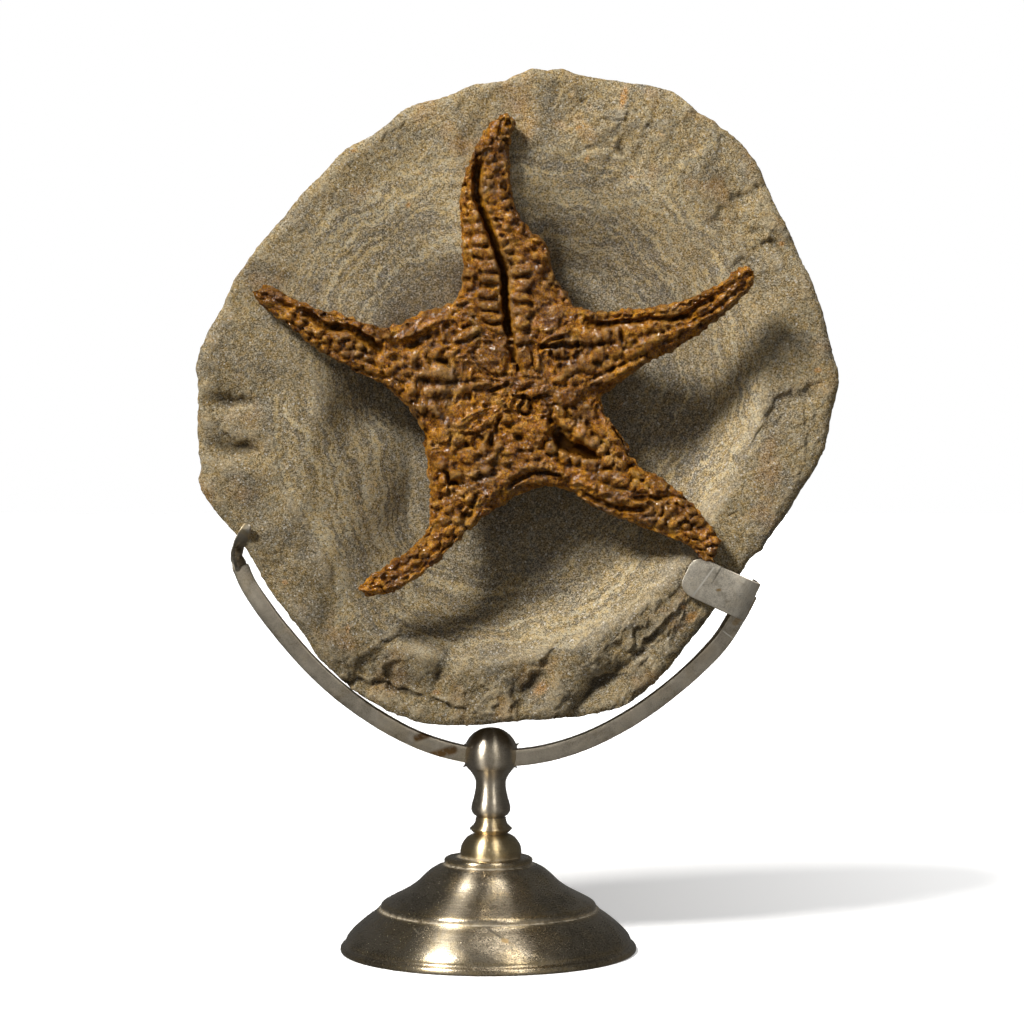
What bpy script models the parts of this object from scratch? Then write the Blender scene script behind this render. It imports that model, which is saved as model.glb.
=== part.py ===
"""A fossil starfish in its dished slab of siltstone, cradled in a turned metal stand.

Frame: origin at the centre of the base's underside, +X to the right, +Y to the back, +Z up.
The front of the slab looks along -Y. Sizes below are millimetres; the meshes are in metres.
On the slab, u runs right and v up from its centre, and a height is measured toward the front
from the plane of the slab's rim.
"""
import math

import bmesh
import bpy
import numpy as np

MM = 0.001
GAP = 0.35                      # clear space left between pieces that touch

# ---------------------------------------------------------------- driving sizes: the slab
SLAB_CENTRE_X = 10.8
SLAB_CENTRE_Z = 202.8
RIM_PLANE_Y = -16.0             # the plane of the rim, in front of the post's axis
SLAB_BACK = -32.0               # height of the back face
DISH_FLOOR = -13.5              # height of the dish's floor
DISH_WALL = 27.0                # width of the slope from the floor up to the dish's edge
PEDESTAL_RADIUS = 19.0          # matrix left standing under the starfish
PEDESTAL_FOOT = 28.0
SEAT_RADIUS = 7.0               # rock worn flat under what lies on the rim
SEAT_FOOT = 13.0
SLAB_SEGMENTS = 72
SLAB_RINGS = (0.165, 0.245, 0.38, 0.52, 0.6, 0.67, 0.74, 0.81, 0.88, 0.945)
BACK_RINGS = (0.7, 0.36)
FRONT_BEVEL = 2.6               # how far the broken edge draws in at the front
BACK_BEVEL = 9.0                # and at the back
CHIP_DEPTH = 1.2
FINGER_SEAT = 1.8               # rock missing where the finger goes round the edge
STRAP_ROOM = 0.6                # kept clear before and behind the bar

# Edge of the slab seen from the front: direction in degrees (anticlockwise from the right)
# and distance from the centre. Only the corners of the broken edge are listed.
SLAB_EDGE = [
    (0, 116), (4, 117), (12, 115), (24, 114.5), (36, 116.5), (44, 121), (52, 123), (60, 123.2),
    (65, 123), (72, 119.8), (80, 119.0), (88, 119.2), (92, 114.2), (100, 113.2), (104, 111.6),
    (112, 111.8), (120, 108.6), (128, 109), (136, 107.8), (144, 107.6), (152, 109.8), (160, 111.8),
    (168, 115), (173, 117.4), (181, 116.8), (190, 118), (196, 120.6), (203, 116.6), (208, 115),
    (215, 114.8), (222, 115.4), (228, 117), (233, 120.6), (240, 123.4), (246, 124.6),
    (252, 124.9), (258, 123.4), (266, 119.8), (274, 118.6), (282, 119.6), (289, 120),
    (294, 117.4), (299, 114), (304, 110), (311, 107), (318, 104.4), (325, 103.6),
    (333, 105.4), (341, 108.6), (350, 113.2),
]

# Edge of the carved dish: direction and distance from the slab's centre.
DISH_EDGE = [
    (0, 85), (30, 88), (60, 92), (90, 88), (120, 93), (150, 94), (175, 87), (200, 83),
    (225, 90), (250, 95), (270, 94), (300, 87), (330, 84),
]

# Broken places on the slab's front: u, v, half length, half width, direction of the length
# in degrees, height added.
SLAB_MARKS = [
    (-14, 100, 18, 5, 96, -2.2),     # step beside the top arm's tip
    (6, 103, 26, 11, 8, -2.4),       # flaked hollow right of the tip
    (46, 96, 20, 9, -28, 1.8),       # rough swell at the upper right
    (78, 70, 16, 6, -55, -2.2),      # crack into the upper right edge
    (90, 55, 14, 5, -35, -2.0),
    (98, 18, 18, 9, -70, 1.6),       # swell at the right edge
    (-104, -2, 9, 4, 0, -2.6),       # two dark pits at the left edge
    (-103, -19, 10, 4.5, -12, -3.0),
    (-97, 30, 14, 9, 50, 1.5),
    (-78, -48, 22, 9, -62, 1.8),     # swell outside the pale ledge
    (-45, -103, 20, 5, -14, -3.4),   # chipped edge at the lower left
    (-27, -98, 9, 5, 70, -2.8),      # gouge above it
    (-33, -93, 12, 6, -30, 2.0),
    (5, -104, 9, 6, 40, -2.6),
    (29, -104, 19, 6, 42, -3.6),     # long diagonal hollow
    (47, -96, 15, 7, 45, 2.0),
    (75, -78, 14, 7, 55, -1.8),
]

# ------------------------------------------------------------ driving sizes: the starfish
MOUTH = (-1.1, 0.4)
ARM_KNOBS = 15                  # knobs in one row along an arm
ARM_ROWS = 2 * ARM_KNOBS
NOTCH_SHARE = 10 / ARM_ROWS     # share of an arm's length that lies inside the disc
DISC_TOP = 6.5                  # half thickness toward the front and toward the slab
DISC_BOTTOM = 6.0
ARM_BOTTOM = 4.4
TIP_TOP = 3.0
TIP_BOTTOM = 2.6
EDGE_ROUNDING = 6.5
GROOVE_DEPTH = 3.6
GROOVE_HALF_WIDTH = 1.9
KNOB_HEIGHT = 1.5
KNOB_ROW = 0.34                 # where the inner knobs and the margin's knobs run, as shares
MARGIN_ROW = 0.8                # of the way from the groove to the arm's edge

# The five angles between neighbouring arms, going anticlockwise from the right arm's top.
NOTCHES = [(20.4, 32.7), (-23.7, 33.5), (-33.4, -21.1), (9.7, -33.0), (30.1, -0.3)]

# Each arm lies between two notches. right and left are its edges, from the notch to the tip,
# seen when looking out along the arm; groove is its middle line from the mouth; rise is the
# height of its middle plane halfway out and at the tip.
ARMS = [
    {"right": [(13.6, 43.5), (10.4, 54.3), (3.2, 61.4), (-1.8, 72.5), (-2.4, 88.6), (-0.6, 97.5)],
     "left": [(-20.9, 38.8), (-20.5, 52.5), (-21.2, 72.1), (-17.3, 85.0), (-10.8, 97.1)],
     "groove": [(-2.2, 8.7), (-4.0, 30.9), (-5.4, 45.3), (-10.1, 59.2), (-13.3, 73.9),
                (-10.6, 88.5), (-6.0, 97.6)],
     "tip": (-4.3, 101.0), "rise": (2.6, 4.2)},
    {"right": [(-35.2, 30.2), (-46.7, 25.2), (-62.1, 29.1), (-76.4, 33.4), (-88.9, 39.8)],
     "left": [(-34.5, -12.2), (-44.2, 0.4), (-58.5, 8.7), (-71.1, 15.8), (-81.8, 24.4),
              (-91.8, 32.0)],
     "groove": [(-17.3, 11.2), (-35.2, 17.3), (-49.6, 18.0), (-62.1, 23.0), (-76.4, 29.8),
                (-88.2, 36.0)],
     "tip": (-95.0, 37.3), "rise": (2.6, 3.6)},
    {"right": [(-31.7, -37.3), (-33.8, -49.1), (-40.9, -55.8), (-49.4, -61.7), (-55.0, -65.6)],
     "left": [(0.7, -35.9), (-11.9, -43.7), (-20.8, -51.5), (-30.8, -61.1), (-40.8, -68.1),
              (-52.1, -71.3)],
     "groove": [(-6.5, -8.6), (-14.4, -17.5), (-21.5, -30.0), (-26.2, -43.6), (-35.1, -56.7),
                (-47.5, -65.6)],
     "tip": (-56.8, -68.8), "rise": (1.5, 8.0)},
    {"right": [(18.6, -34.1), (27.6, -40.5), (38.3, -44.7), (49.4, -49.4), (60.8, -54.0),
               (66.4, -59.3)],
     "left": [(31.2, -5.7), (36.9, -12.9), (42.3, -23.6), (55.1, -31.5), (65.1, -41.1),
              (72.5, -51.4)],
     "groove": [(9.7, -7.8), (19.3, -16.4), (30.8, -24.7), (43.6, -32.2), (56.1, -40.7),
                (66.8, -53.0)],
     "tip": (70.0, -59.6), "rise": (3.0, 6.0)},
    {"right": [(38.4, 5.4), (47.2, 12.2), (57.8, 17.2), (70.1, 26.1), (78.7, 33.8), (83.8, 40.1)],
     "left": [(31.2, 30.6), (43.6, 31.9), (56.3, 34.0), (68.9, 38.8), (79.2, 46.5)],
     "groove": [(10.7, 15.9), (25.7, 24.8), (41.7, 26.5), (55.8, 29.6), (68.1, 35.6),
                (79.2, 42.6)],
     "tip": (83.5, 44.4), "rise": (5.0, 16.0)},
]

# --------------------------------------------------------------- driving sizes: the stand
STRAP_FACE = 6.2                # width of the bar, seen from the front
STRAP_THICKNESS = 4.4
STRAP_Y = -1.6
# Middle line of the bar, x and z, from its left end to its right end.
STRAP_LINE = [
    (-90.2, 140.6), (-86.2, 132.2), (-75.7, 117.6), (-61.2, 101.5), (-44.2, 87.8),
    (-24.9, 77.2), (-4.9, 71.8), (14.1, 71.5), (33.4, 76.3), (52.0, 85.6), (69.1, 98.1),
    (83.0, 111.6), (90.4, 122.7), (94.8, 131.0),
]
STEM_X = 0.9                    # the stem stands a little off the base's centre
BALL_RADIUS = 10.0
BALL_Z = 71.8
SLOT_HEIGHT = 8.8
SLOT_FRONT_Y = -4.1
SLOT_BACK_Y = 1.1

CLIP_WIDTH = 14.6               # right clip, a bent strip
CLIP_THICKNESS = 1.3
CLIP_SLOPE = -24.8              # direction of the strip, degrees from the horizontal
CLIP_CORNER = (98.6, 134.9)     # its outermost upper corner, x and z
CLIP_REACH = 26.8               # from its rounded end to the outside of the bend
CLIP_BEND = 8.0
CLIP_TOP_HEIGHT = 2.5           # height of its face above the rim plane
CLIP_BACK_Y = 13.0

FINGER_WIDTH = 4.6              # left clip, a bent finger
FINGER_THICKNESS = 2.4
# Its middle line: x, y, z from the strap's end, round the edge and over the rim.
FINGER_LINE = [
    (-90.7, -3.0, 142.3), (-91.2, -6.0, 144.4), (-90.5, -11.0, 147.4), (-88.9, -15.7, 150.6),
    (-87.1, -18.6, 154.0), (-86.1, -19.8, 157.2),
]

BASE_RADIUS = 54.2
BASE_PROFILE = [                # radius and height, from the rim up to the ring
    (54.0, 0.0), (BASE_RADIUS, 1.3), (53.6, 2.8), (52.3, 3.4), (51.9, 4.8), (49.9, 7.4),
    (46.6, 10.6), (43.2, 13.2), (40.6, 14.8), (38.7, 15.3), (38.3, 17.3), (34.4, 19.4),
    (29.6, 22.1), (25.6, 25.3), (22.2, 28.8), (18.2, 31.4), (15.6, 32.0), (16.1, 33.3),
    (15.2, 34.4), (12.0, 34.5),
]
CAP_PROFILE = [
    (10.8, 34.9), (11.2, 36.8), (10.6, 39.1), (9.0, 41.4), (6.6, 42.8),
]
COLLAR_PROFILE = [
    (6.3, 43.15), (6.8, 44.0), (7.7, 44.9), (6.2, 46.5), (5.6, 48.1), (5.2, 48.9),
]
POST_PROFILE = [                # from the foot of the baluster up to the ball
    (5.6, 49.25), (6.6, 50.3), (7.15, 52.0), (6.9, 53.9), (6.1, 56.3), (5.5, 59.2),
    (5.6, 62.0), (6.6, 64.5), (8.2, 66.8),
]
BASE_SEGMENTS = 32
POST_SEGMENTS = 24


# ------------------------------------------------------------------------------ helpers
def clear_scene():
    for old in list(bpy.data.objects):
        bpy.data.objects.remove(old, do_unlink=True)


def make_material(name, colour, roughness, metallic):
    material = bpy.data.materials.new(name)
    material.use_nodes = True
    shader = material.node_tree.nodes["Principled BSDF"]
    shader.inputs["Base Color"].default_value = (*colour, 1.0)
    shader.inputs["Roughness"].default_value = roughness
    shader.inputs["Metallic"].default_value = metallic
    return material


def make_object(name, points, faces, material, sharp_degrees=None):
    """One closed solid from points in millimetres, its faces turned outward."""
    mesh = bpy.data.meshes.new(name)
    mesh.from_pydata([tuple(c * MM for c in point) for point in points], [], faces)
    shell = bmesh.new()
    shell.from_mesh(mesh)
    bmesh.ops.recalc_face_normals(shell, faces=shell.faces)
    shell.to_mesh(mesh)
    shell.free()
    mesh.materials.append(material)
    if sharp_degrees is not None:
        mesh.shade_smooth()
        mesh.set_sharp_from_angle(angle=math.radians(sharp_degrees))
    thing = bpy.data.objects.new(name, mesh)
    bpy.context.scene.collection.objects.link(thing)
    return thing


def cut_away(thing, cutter):
    """Subtract a helper solid, which stays in the file as a wire guide."""
    cutter.hide_render = True
    cutter.display_type = "WIRE"
    modifier = thing.modifiers.new("cut", "BOOLEAN")
    modifier.operation = "DIFFERENCE"
    modifier.object = cutter


def smoothstep(low, high, value):
    share = np.clip((value - low) / (high - low), 0.0, 1.0)
    return share * share * (3.0 - 2.0 * share)


def smooth_line(points, count):
    """Points at even spacing along a Catmull-Rom curve through the given points."""
    knots = np.array(points, dtype=float)
    padded = np.vstack([2 * knots[0] - knots[1], knots, 2 * knots[-1] - knots[-2]])
    steps = np.linspace(0.0, 1.0, 9)[:-1]
    dense = []
    for index in range(len(knots) - 1):
        a, b, c, d = padded[index:index + 4]
        for t in steps:
            bend = (2 * a - 5 * b + 4 * c - d) * t * t + (3 * b - a - 3 * c + d) * t ** 3
            dense.append(0.5 * (2 * b + (c - a) * t + bend))
    dense.append(knots[-1])
    dense = np.array(dense)
    run = np.concatenate([[0.0], np.cumsum(np.linalg.norm(np.diff(dense, axis=0), axis=1))])
    wanted = np.linspace(0.0, run[-1], count)
    return np.column_stack([np.interp(wanted, run, dense[:, axis])
                            for axis in range(dense.shape[1])])


def lattice_value(ix, iy, seed):
    mixed = (ix * 374761393 + iy * 668265263 + seed * 1442695041) & 0xFFFFFFFF
    mixed = ((mixed ^ (mixed >> 13)) * 1274126177) & 0xFFFFFFFF
    return ((mixed ^ (mixed >> 16)) & 0xFFFF) / 32767.5 - 1.0


def lumps(u, v, size, seed):
    """Smooth lumps between -1 and 1, about one size across."""
    x = np.asarray(u, dtype=float) / size
    y = np.asarray(v, dtype=float) / size
    ix = np.floor(x).astype(np.int64)
    iy = np.floor(y).astype(np.int64)
    fx = smoothstep(0.0, 1.0, x - ix)
    fy = smoothstep(0.0, 1.0, y - iy)
    low = lattice_value(ix, iy, seed) * (1 - fx) + lattice_value(ix + 1, iy, seed) * fx
    high = lattice_value(ix, iy + 1, seed) * (1 - fx) + lattice_value(ix + 1, iy + 1, seed) * fx
    return low * (1 - fy) + high * fy


def distance_to_line(u, v, line):
    """Distance from places on the slab to a line of straight pieces."""
    best = np.full(np.shape(u), 1e9)
    for a, b in zip(line[:-1], line[1:]):
        side = b - a
        share = ((u - a[0]) * side[0] + (v - a[1]) * side[1]) / np.dot(side, side)
        share = np.clip(share, 0.0, 1.0)
        best = np.minimum(best, np.hypot(u - a[0] - share * side[0], v - a[1] - share * side[1]))
    return best


def to_row(u, v, height):
    """A place on the slab in the part's own frame."""
    return (SLAB_CENTRE_X + u, RIM_PLANE_Y - height, SLAB_CENTRE_Z + v)


# -------------------------------------------------------------------------- the slab
def edge_distance(table, degrees):
    angles = [row[0] for row in table] + [table[0][0] + 360]
    values = [row[1] for row in table] + [table[0][1]]
    return np.interp(np.mod(degrees, 360.0), angles, values)


def slab_height(u, v):
    """Height of the slab's front: rim, dish, pedestal and broken places."""
    radius = np.hypot(u, v)
    degrees = np.degrees(np.arctan2(v, u))
    inside_dish = edge_distance(DISH_EDGE, degrees) - radius
    from_edge = edge_distance(SLAB_EDGE, degrees) - radius
    height = 1.2 * lumps(u, v, 34.0, 3) + 1.0 * lumps(u, v, 13.0, 5)
    height = height * (1.0 - 0.75 * smoothstep(0.0, 12.0, inside_dish))
    height = height - 4.0 * (1.0 - smoothstep(0.0, 13.0, from_edge))
    for mu, mv, length, width, turn, lift in SLAB_MARKS:
        c, s = math.cos(math.radians(turn)), math.sin(math.radians(turn))
        along = ((u - mu) * c + (v - mv) * s) / length
        across = ((v - mv) * c - (u - mu) * s) / width
        height = height + lift * np.exp(-(along ** 2 + across ** 2) * 1.4)
    height = height + DISH_FLOOR * smoothstep(0.0, DISH_WALL, inside_dish)
    for line, seat in rim_seats():
        on_seat = 1.0 - smoothstep(SEAT_RADIUS, SEAT_FOOT, distance_to_line(u, v, line))
        height = height * (1.0 - on_seat) + np.minimum(height, seat) * on_seat
    from_mouth = np.hypot(u - MOUTH[0], v - MOUTH[1])
    on_pedestal = 1.0 - smoothstep(PEDESTAL_RADIUS, PEDESTAL_FOOT, from_mouth)
    pedestal_top = -DISC_BOTTOM - GAP
    return height * (1.0 - on_pedestal) + pedestal_top * on_pedestal


def rim_seats():
    """Lines on the slab that something lies along, each with the height of the rock there."""
    seats = []
    for arm in ARMS:
        line = np.array([arm["groove"][-2], arm["tip"]])
        seats.append((line, min(arm["rise"][1] - TIP_BOTTOM - 4 * GAP, 0.4)))
    along, up = clip_axes()
    end = np.array(CLIP_CORNER) - up * CLIP_WIDTH / 2 - (SLAB_CENTRE_X, SLAB_CENTRE_Z)
    seats.append((np.array([end - along * CLIP_REACH, end]),
                  CLIP_TOP_HEIGHT - CLIP_THICKNESS - 2 * GAP))
    return seats


def strap_clearance(degrees):
    """Distance from the slab's centre to the inner edge of the strap, where there is one."""
    line = smooth_line(STRAP_LINE, 120)
    step = np.gradient(line, axis=0)
    step /= np.linalg.norm(step, axis=1)[:, None]
    inner = line + np.column_stack([-step[:, 1], step[:, 0]]) * STRAP_FACE / 2
    du, dv = inner[:, 0] - SLAB_CENTRE_X, inner[:, 1] - SLAB_CENTRE_Z
    around = np.mod(np.degrees(np.arctan2(dv, du)), 360.0)
    return np.interp(np.mod(degrees, 360.0), around, np.hypot(du, dv), left=1e3, right=1e3)


def slab_outline_angles(count):
    """Directions that include every corner of the edge, with the widest steps halved."""
    angles = [float(row[0]) for row in SLAB_EDGE]
    while len(angles) < count:
        ends = angles[1:] + [360.0]
        widths = [b - a for a, b in zip(angles, ends)]
        widest = widths.index(max(widths))
        angles.insert(widest + 1, (angles[widest] + ends[widest]) / 2)
    return np.array(angles)


def build_slab(material):
    degrees = slab_outline_angles(SLAB_SEGMENTS)
    directions = np.column_stack([np.cos(np.radians(degrees)), np.sin(np.radians(degrees))])
    edge = edge_distance(SLAB_EDGE, degrees)
    chip = lumps(degrees / 9.0, degrees * 0.0, 1.0, 21)
    rings = []

    def add_ring(distance, height):
        place = directions * np.reshape(distance, (-1, 1))
        rings.append([to_row(p[0], p[1], h) for p, h in zip(place, height)])

    for share in SLAB_RINGS:
        flat = directions * (edge * share)[:, None]
        add_ring(edge * share, slab_height(flat[:, 0], flat[:, 1]))
    finger_x, _, finger_z = FINGER_LINE[2]
    finger_way = math.degrees(math.atan2(finger_z - SLAB_CENTRE_Z, finger_x - SLAB_CENTRE_X))
    under_finger = np.exp(-((degrees - finger_way % 360.0) / 5.0) ** 2)
    front = edge - FRONT_BEVEL - CHIP_DEPTH * chip - FINGER_SEAT * under_finger
    front_place = directions * front[:, None]
    add_ring(front, slab_height(front_place[:, 0], front_place[:, 1]) - 0.6)
    waist = np.minimum(edge - 0.8 + 0.5 * chip - under_finger, strap_clearance(degrees) - GAP)
    strap_front = RIM_PLANE_Y - (STRAP_Y - STRAP_THICKNESS / 2 - STRAP_ROOM)
    strap_back = RIM_PLANE_Y - (STRAP_Y + STRAP_THICKNESS / 2 + STRAP_ROOM)
    add_ring(waist, np.full(len(waist), strap_front))
    add_ring(waist, np.full(len(waist), strap_back))
    add_ring(edge - 0.4 * np.abs(chip), strap_back - 5.0 + 1.5 * chip)
    add_ring(edge - BACK_BEVEL + 2.0 * chip, SLAB_BACK + 0.4 * chip)
    for share in BACK_RINGS:
        flat = directions * (edge * share)[:, None]
        add_ring(edge * share, SLAB_BACK + 1.5 * lumps(flat[:, 0], flat[:, 1], 30.0, 8))

    points = [to_row(0.0, 0.0, -DISC_BOTTOM - GAP)]
    for ring in rings:
        points.extend(ring)
    points.append(to_row(0.0, 0.0, SLAB_BACK))
    count = len(degrees)
    faces = []
    for i in range(count):
        j = (i + 1) % count
        faces.append((0, 1 + i, 1 + j))
        for ring in range(len(rings) - 1):
            a, b = 1 + ring * count, 1 + (ring + 1) * count
            faces.append((a + i, b + i, b + j, a + j))
        last = 1 + (len(rings) - 1) * count
        faces.append((last + i, len(points) - 1, last + j))
    return make_object("matrix_slab", points, faces, material)


# ---------------------------------------------------------------------- the starfish
def starfish_outline():
    """The whole edge of the starfish as one closed line."""
    outline = []
    for number, arm in enumerate(ARMS):
        right = smooth_line([NOTCHES[number]] + arm["right"] + [arm["tip"]], 60)
        left = smooth_line([NOTCHES[(number + 1) % 5]] + arm["left"] + [arm["tip"]], 60)
        outline += [right[:-1], left[:0:-1]]
    return np.vstack(outline + [outline[0][:1]])


def arm_edge(notch, points, tip, shares):
    """Places along one edge of an arm: straight from the mouth to the notch, then the edge."""
    outer = smooth_line([notch] + points + [tip], 60)
    inner = np.outer(np.clip(shares / NOTCH_SHARE, 0, 1), np.subtract(notch, MOUTH)) + MOUTH
    past = np.clip((shares - NOTCH_SHARE) / (1.0 - NOTCH_SHARE), 0, 1) * 59
    out = np.column_stack([np.interp(past, range(60), outer[:, axis]) for axis in (0, 1)])
    return np.where((shares > NOTCH_SHARE)[:, None], out, inner)


def arm_grid(arm, notch_right, notch_left, shares, across):
    """Places in one fifth of the starfish: rows out along the arm, columns right to left."""
    right = arm_edge(notch_right, arm["right"], arm["tip"], shares)
    left = arm_edge(notch_left, arm["left"], arm["tip"], shares)
    middle_line = smooth_line([MOUTH] + arm["groove"] + [arm["tip"]], 60)
    middle = np.column_stack([np.interp(shares * 59, range(60), middle_line[:, axis])
                              for axis in (0, 1)])
    side = np.abs(across)[None, :, None]
    edge = np.where((across < 0)[None, :, None], right[:, None, :], left[:, None, :])
    return middle[:, None, :] * (1 - side) + edge * side, np.linalg.norm(left - right, axis=1)


def arm_rise(arm, shares):
    halfway, tip = arm["rise"]
    return np.interp(shares, [0, NOTCH_SHARE, 0.66, 0.84, 1],
                     [0, 0, halfway, (halfway + tip) / 2 + 0.6, tip])


def starfish_top(shares, across, span, inset):
    """Height of the front of an arm above its middle plane."""
    thickness = np.interp(shares, [0, 0.2, 0.6, 1], [DISC_TOP - 1, DISC_TOP, 5.0, TIP_TOP])
    rounding = np.clip(inset / np.minimum(EDGE_ROUNDING, 0.2 + span * 0.36), 0, 1)
    top = thickness * np.sqrt(1 - (1 - rounding) ** 2)
    off_groove = np.abs(across) * np.clip(span / 2, 3.0, 15.0)
    fade = smoothstep(0.06, 0.16, shares) * smoothstep(1.0, 0.86, shares)
    top = top - GROOVE_DEPTH * fade * np.exp(-(off_groove / GROOVE_HALF_WIDTH) ** 2)
    beat = np.cos(shares * ARM_KNOBS * 2 * math.pi)
    row = np.exp(-((np.abs(across) - KNOB_ROW) / 0.15) ** 2)
    top = top + KNOB_HEIGHT * fade * row * (0.35 + 0.65 * beat)
    margin = np.exp(-((np.abs(across) - MARGIN_ROW) / 0.13) ** 2)
    margin = margin * smoothstep(NOTCH_SHARE - 0.03, NOTCH_SHARE + 0.12, shares)
    return top + margin * (0.9 + 0.7 * beat) * np.clip(span / 25.0, 0.25, 1.0)


def build_starfish(material):
    shares = np.arange(1, ARM_ROWS) / ARM_ROWS
    front_across = np.array([-1, -0.93, -0.78, -0.56, -0.34, -0.13, 0,
                             0.13, 0.34, 0.56, 0.78, 0.93, 1.0])
    back_across = np.array([-0.8, 0.0, 0.8])
    outline = starfish_outline()
    points, faces, known = [], [], {}

    def index_of(u, v, height, face):
        key = (round(u, 3), round(v, 3), face)
        if key not in known:
            known[key] = len(points)
            points.append(to_row(u, v, height))
        return known[key]

    for number, arm in enumerate(ARMS):
        notch_right, notch_left = NOTCHES[number], NOTCHES[(number + 1) % 5]
        sheets = []
        for face, across in (("front", front_across), ("back", np.r_[-1, back_across, 1])):
            grid, span = arm_grid(arm, notch_right, notch_left, shares, across)
            u, v = grid[..., 0], grid[..., 1]
            inset = distance_to_line(u, v, outline)
            s = shares[:, None] + 0 * u
            middle = arm_rise(arm, s)
            if face == "front":
                height = middle + starfish_top(s, across[None, :], span[:, None], inset)
            else:
                depth = np.interp(s, [0, NOTCH_SHARE, 0.6, 1],
                                  [DISC_BOTTOM, DISC_BOTTOM, ARM_BOTTOM, TIP_BOTTOM])
                rounding = np.clip(inset / np.minimum(EDGE_ROUNDING, 0.2 + span[:, None] * 0.36),
                                   0, 1)
                height = middle - depth * np.sqrt(1 - (1 - rounding) ** 2)
            on_edge = (np.abs(across)[None, :] == 1) & (s >= NOTCH_SHARE - 1e-6)
            height = np.where(on_edge, middle, height)
            sheet = [[index_of(u[i, j], v[i, j], height[i, j],
                               "edge" if on_edge[i, j] else face)
                      for j in range(len(across))] for i in range(len(shares))]
            sheets.append((face, sheet))
        for face, sheet in sheets:
            middle_height = DISC_TOP - 1.5 if face == "front" else -DISC_BOTTOM
            mouth = index_of(*MOUTH, middle_height, face)
            tip = index_of(*arm["tip"], arm["rise"][1], "edge")
            for j in range(len(sheet[0]) - 1):
                faces.append((mouth, sheet[0][j], sheet[0][j + 1]))
                for i in range(len(sheet) - 1):
                    faces.append((sheet[i][j], sheet[i + 1][j],
                                  sheet[i + 1][j + 1], sheet[i][j + 1]))
                faces.append((sheet[-1][j], tip, sheet[-1][j + 1]))
    return make_object("starfish", points, faces, material)


# ------------------------------------------------------------------- turned metal pieces
def build_turned(name, profile, axis_x, segments, material):
    """A solid of revolution about an upright axis, closed flat at both ends."""
    points, faces = [(axis_x, 0.0, profile[0][1])], []
    turns = [2 * math.pi * k / segments for k in range(segments)]
    for radius, z in profile:
        points += [(axis_x + radius * math.cos(a), radius * math.sin(a), z) for a in turns]
    points.append((axis_x, 0.0, profile[-1][1]))
    top = len(points) - 1
    for i in range(segments):
        j = (i + 1) % segments
        faces.append((0, 1 + j, 1 + i))
        for ring in range(len(profile) - 1):
            a, b = 1 + ring * segments, 1 + (ring + 1) * segments
            faces.append((a + i, a + j, b + j, b + i))
        last = 1 + (len(profile) - 1) * segments
        faces.append((last + i, last + j, top))
    return make_object(name, points, faces, material, sharp_degrees=32)


def build_post(material):
    """Baluster and ball, with the slot that the strap passes through."""
    ball = []
    neck_angle = math.asin(POST_PROFILE[-1][0] / BALL_RADIUS)
    for k in range(9):
        angle = math.pi - neck_angle - (math.pi - neck_angle - 0.12) * k / 8
        ball.append((BALL_RADIUS * math.sin(angle), BALL_Z + BALL_RADIUS * math.cos(angle)))
    profile = POST_PROFILE[:-1] + ball
    post = build_turned("post", profile, STEM_X, POST_SEGMENTS, material)
    half = SLOT_HEIGHT / 2
    box = [(x, y, BALL_Z + z) for x in (-15, 15)
           for y in (SLOT_FRONT_Y, SLOT_BACK_Y) for z in (-half, half)]
    sides = [(0, 1, 3, 2), (4, 6, 7, 5), (0, 4, 5, 1), (2, 3, 7, 6), (0, 2, 6, 4), (1, 5, 7, 3)]
    cut_away(post, make_object("slot_cutter", box, sides, material))
    return post


# ------------------------------------------------------------------------ strap and clips
def swept_bar(name, centres, wide, deep, material, taper=None):
    """A bar of rectangular section; wide and deep are vectors from its middle line."""
    points, faces = [], []
    for k, centre in enumerate(centres):
        scale = 1.0 if taper is None else taper[k]
        w, d = wide[k] * scale, deep[k] * scale
        points += [tuple(centre + w + d), tuple(centre - w + d),
                   tuple(centre - w - d), tuple(centre + w - d)]
    for k in range(len(centres) - 1):
        a, b = 4 * k, 4 * (k + 1)
        for i in range(4):
            j = (i + 1) % 4
            faces.append((a + i, a + j, b + j, b + i))
    faces.append((3, 2, 1, 0))
    last = 4 * (len(centres) - 1)
    faces.append((last, last + 1, last + 2, last + 3))
    return make_object(name, points, faces, material, sharp_degrees=32)


def build_strap(material):
    line = smooth_line(STRAP_LINE, 40)
    step = np.gradient(line, axis=0)
    step /= np.linalg.norm(step, axis=1)[:, None]
    centres = np.column_stack([line[:, 0], np.full(len(line), STRAP_Y), line[:, 1]])
    wide = np.column_stack([-step[:, 1], np.zeros(len(line)), step[:, 0]]) * STRAP_FACE / 2
    deep = np.tile([0.0, STRAP_THICKNESS / 2, 0.0], (len(line), 1))
    strap = swept_bar("cradle_strap", centres, wide, deep, material)
    along, up = clip_axes()
    corner = np.array(CLIP_CORNER) + (along + up) * GAP
    far = corner - along * (CLIP_REACH + 10)
    low = -up * (CLIP_WIDTH + 2 * GAP)
    outline = [corner, far, far + low, corner + low]
    box = [(p[0], y, p[1]) for y in (-30, 30) for p in outline]
    sides = [(0, 1, 2, 3), (7, 6, 5, 4)] + [(i, i + 4, (i + 1) % 4 + 4, (i + 1) % 4)
                                            for i in range(4)]
    cut_away(strap, make_object("clip_cutter", box, sides, material))
    return strap


def clip_axes():
    slope = math.radians(CLIP_SLOPE)
    return (np.array([math.cos(slope), math.sin(slope)]),
            np.array([-math.sin(slope), math.cos(slope)]))


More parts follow.
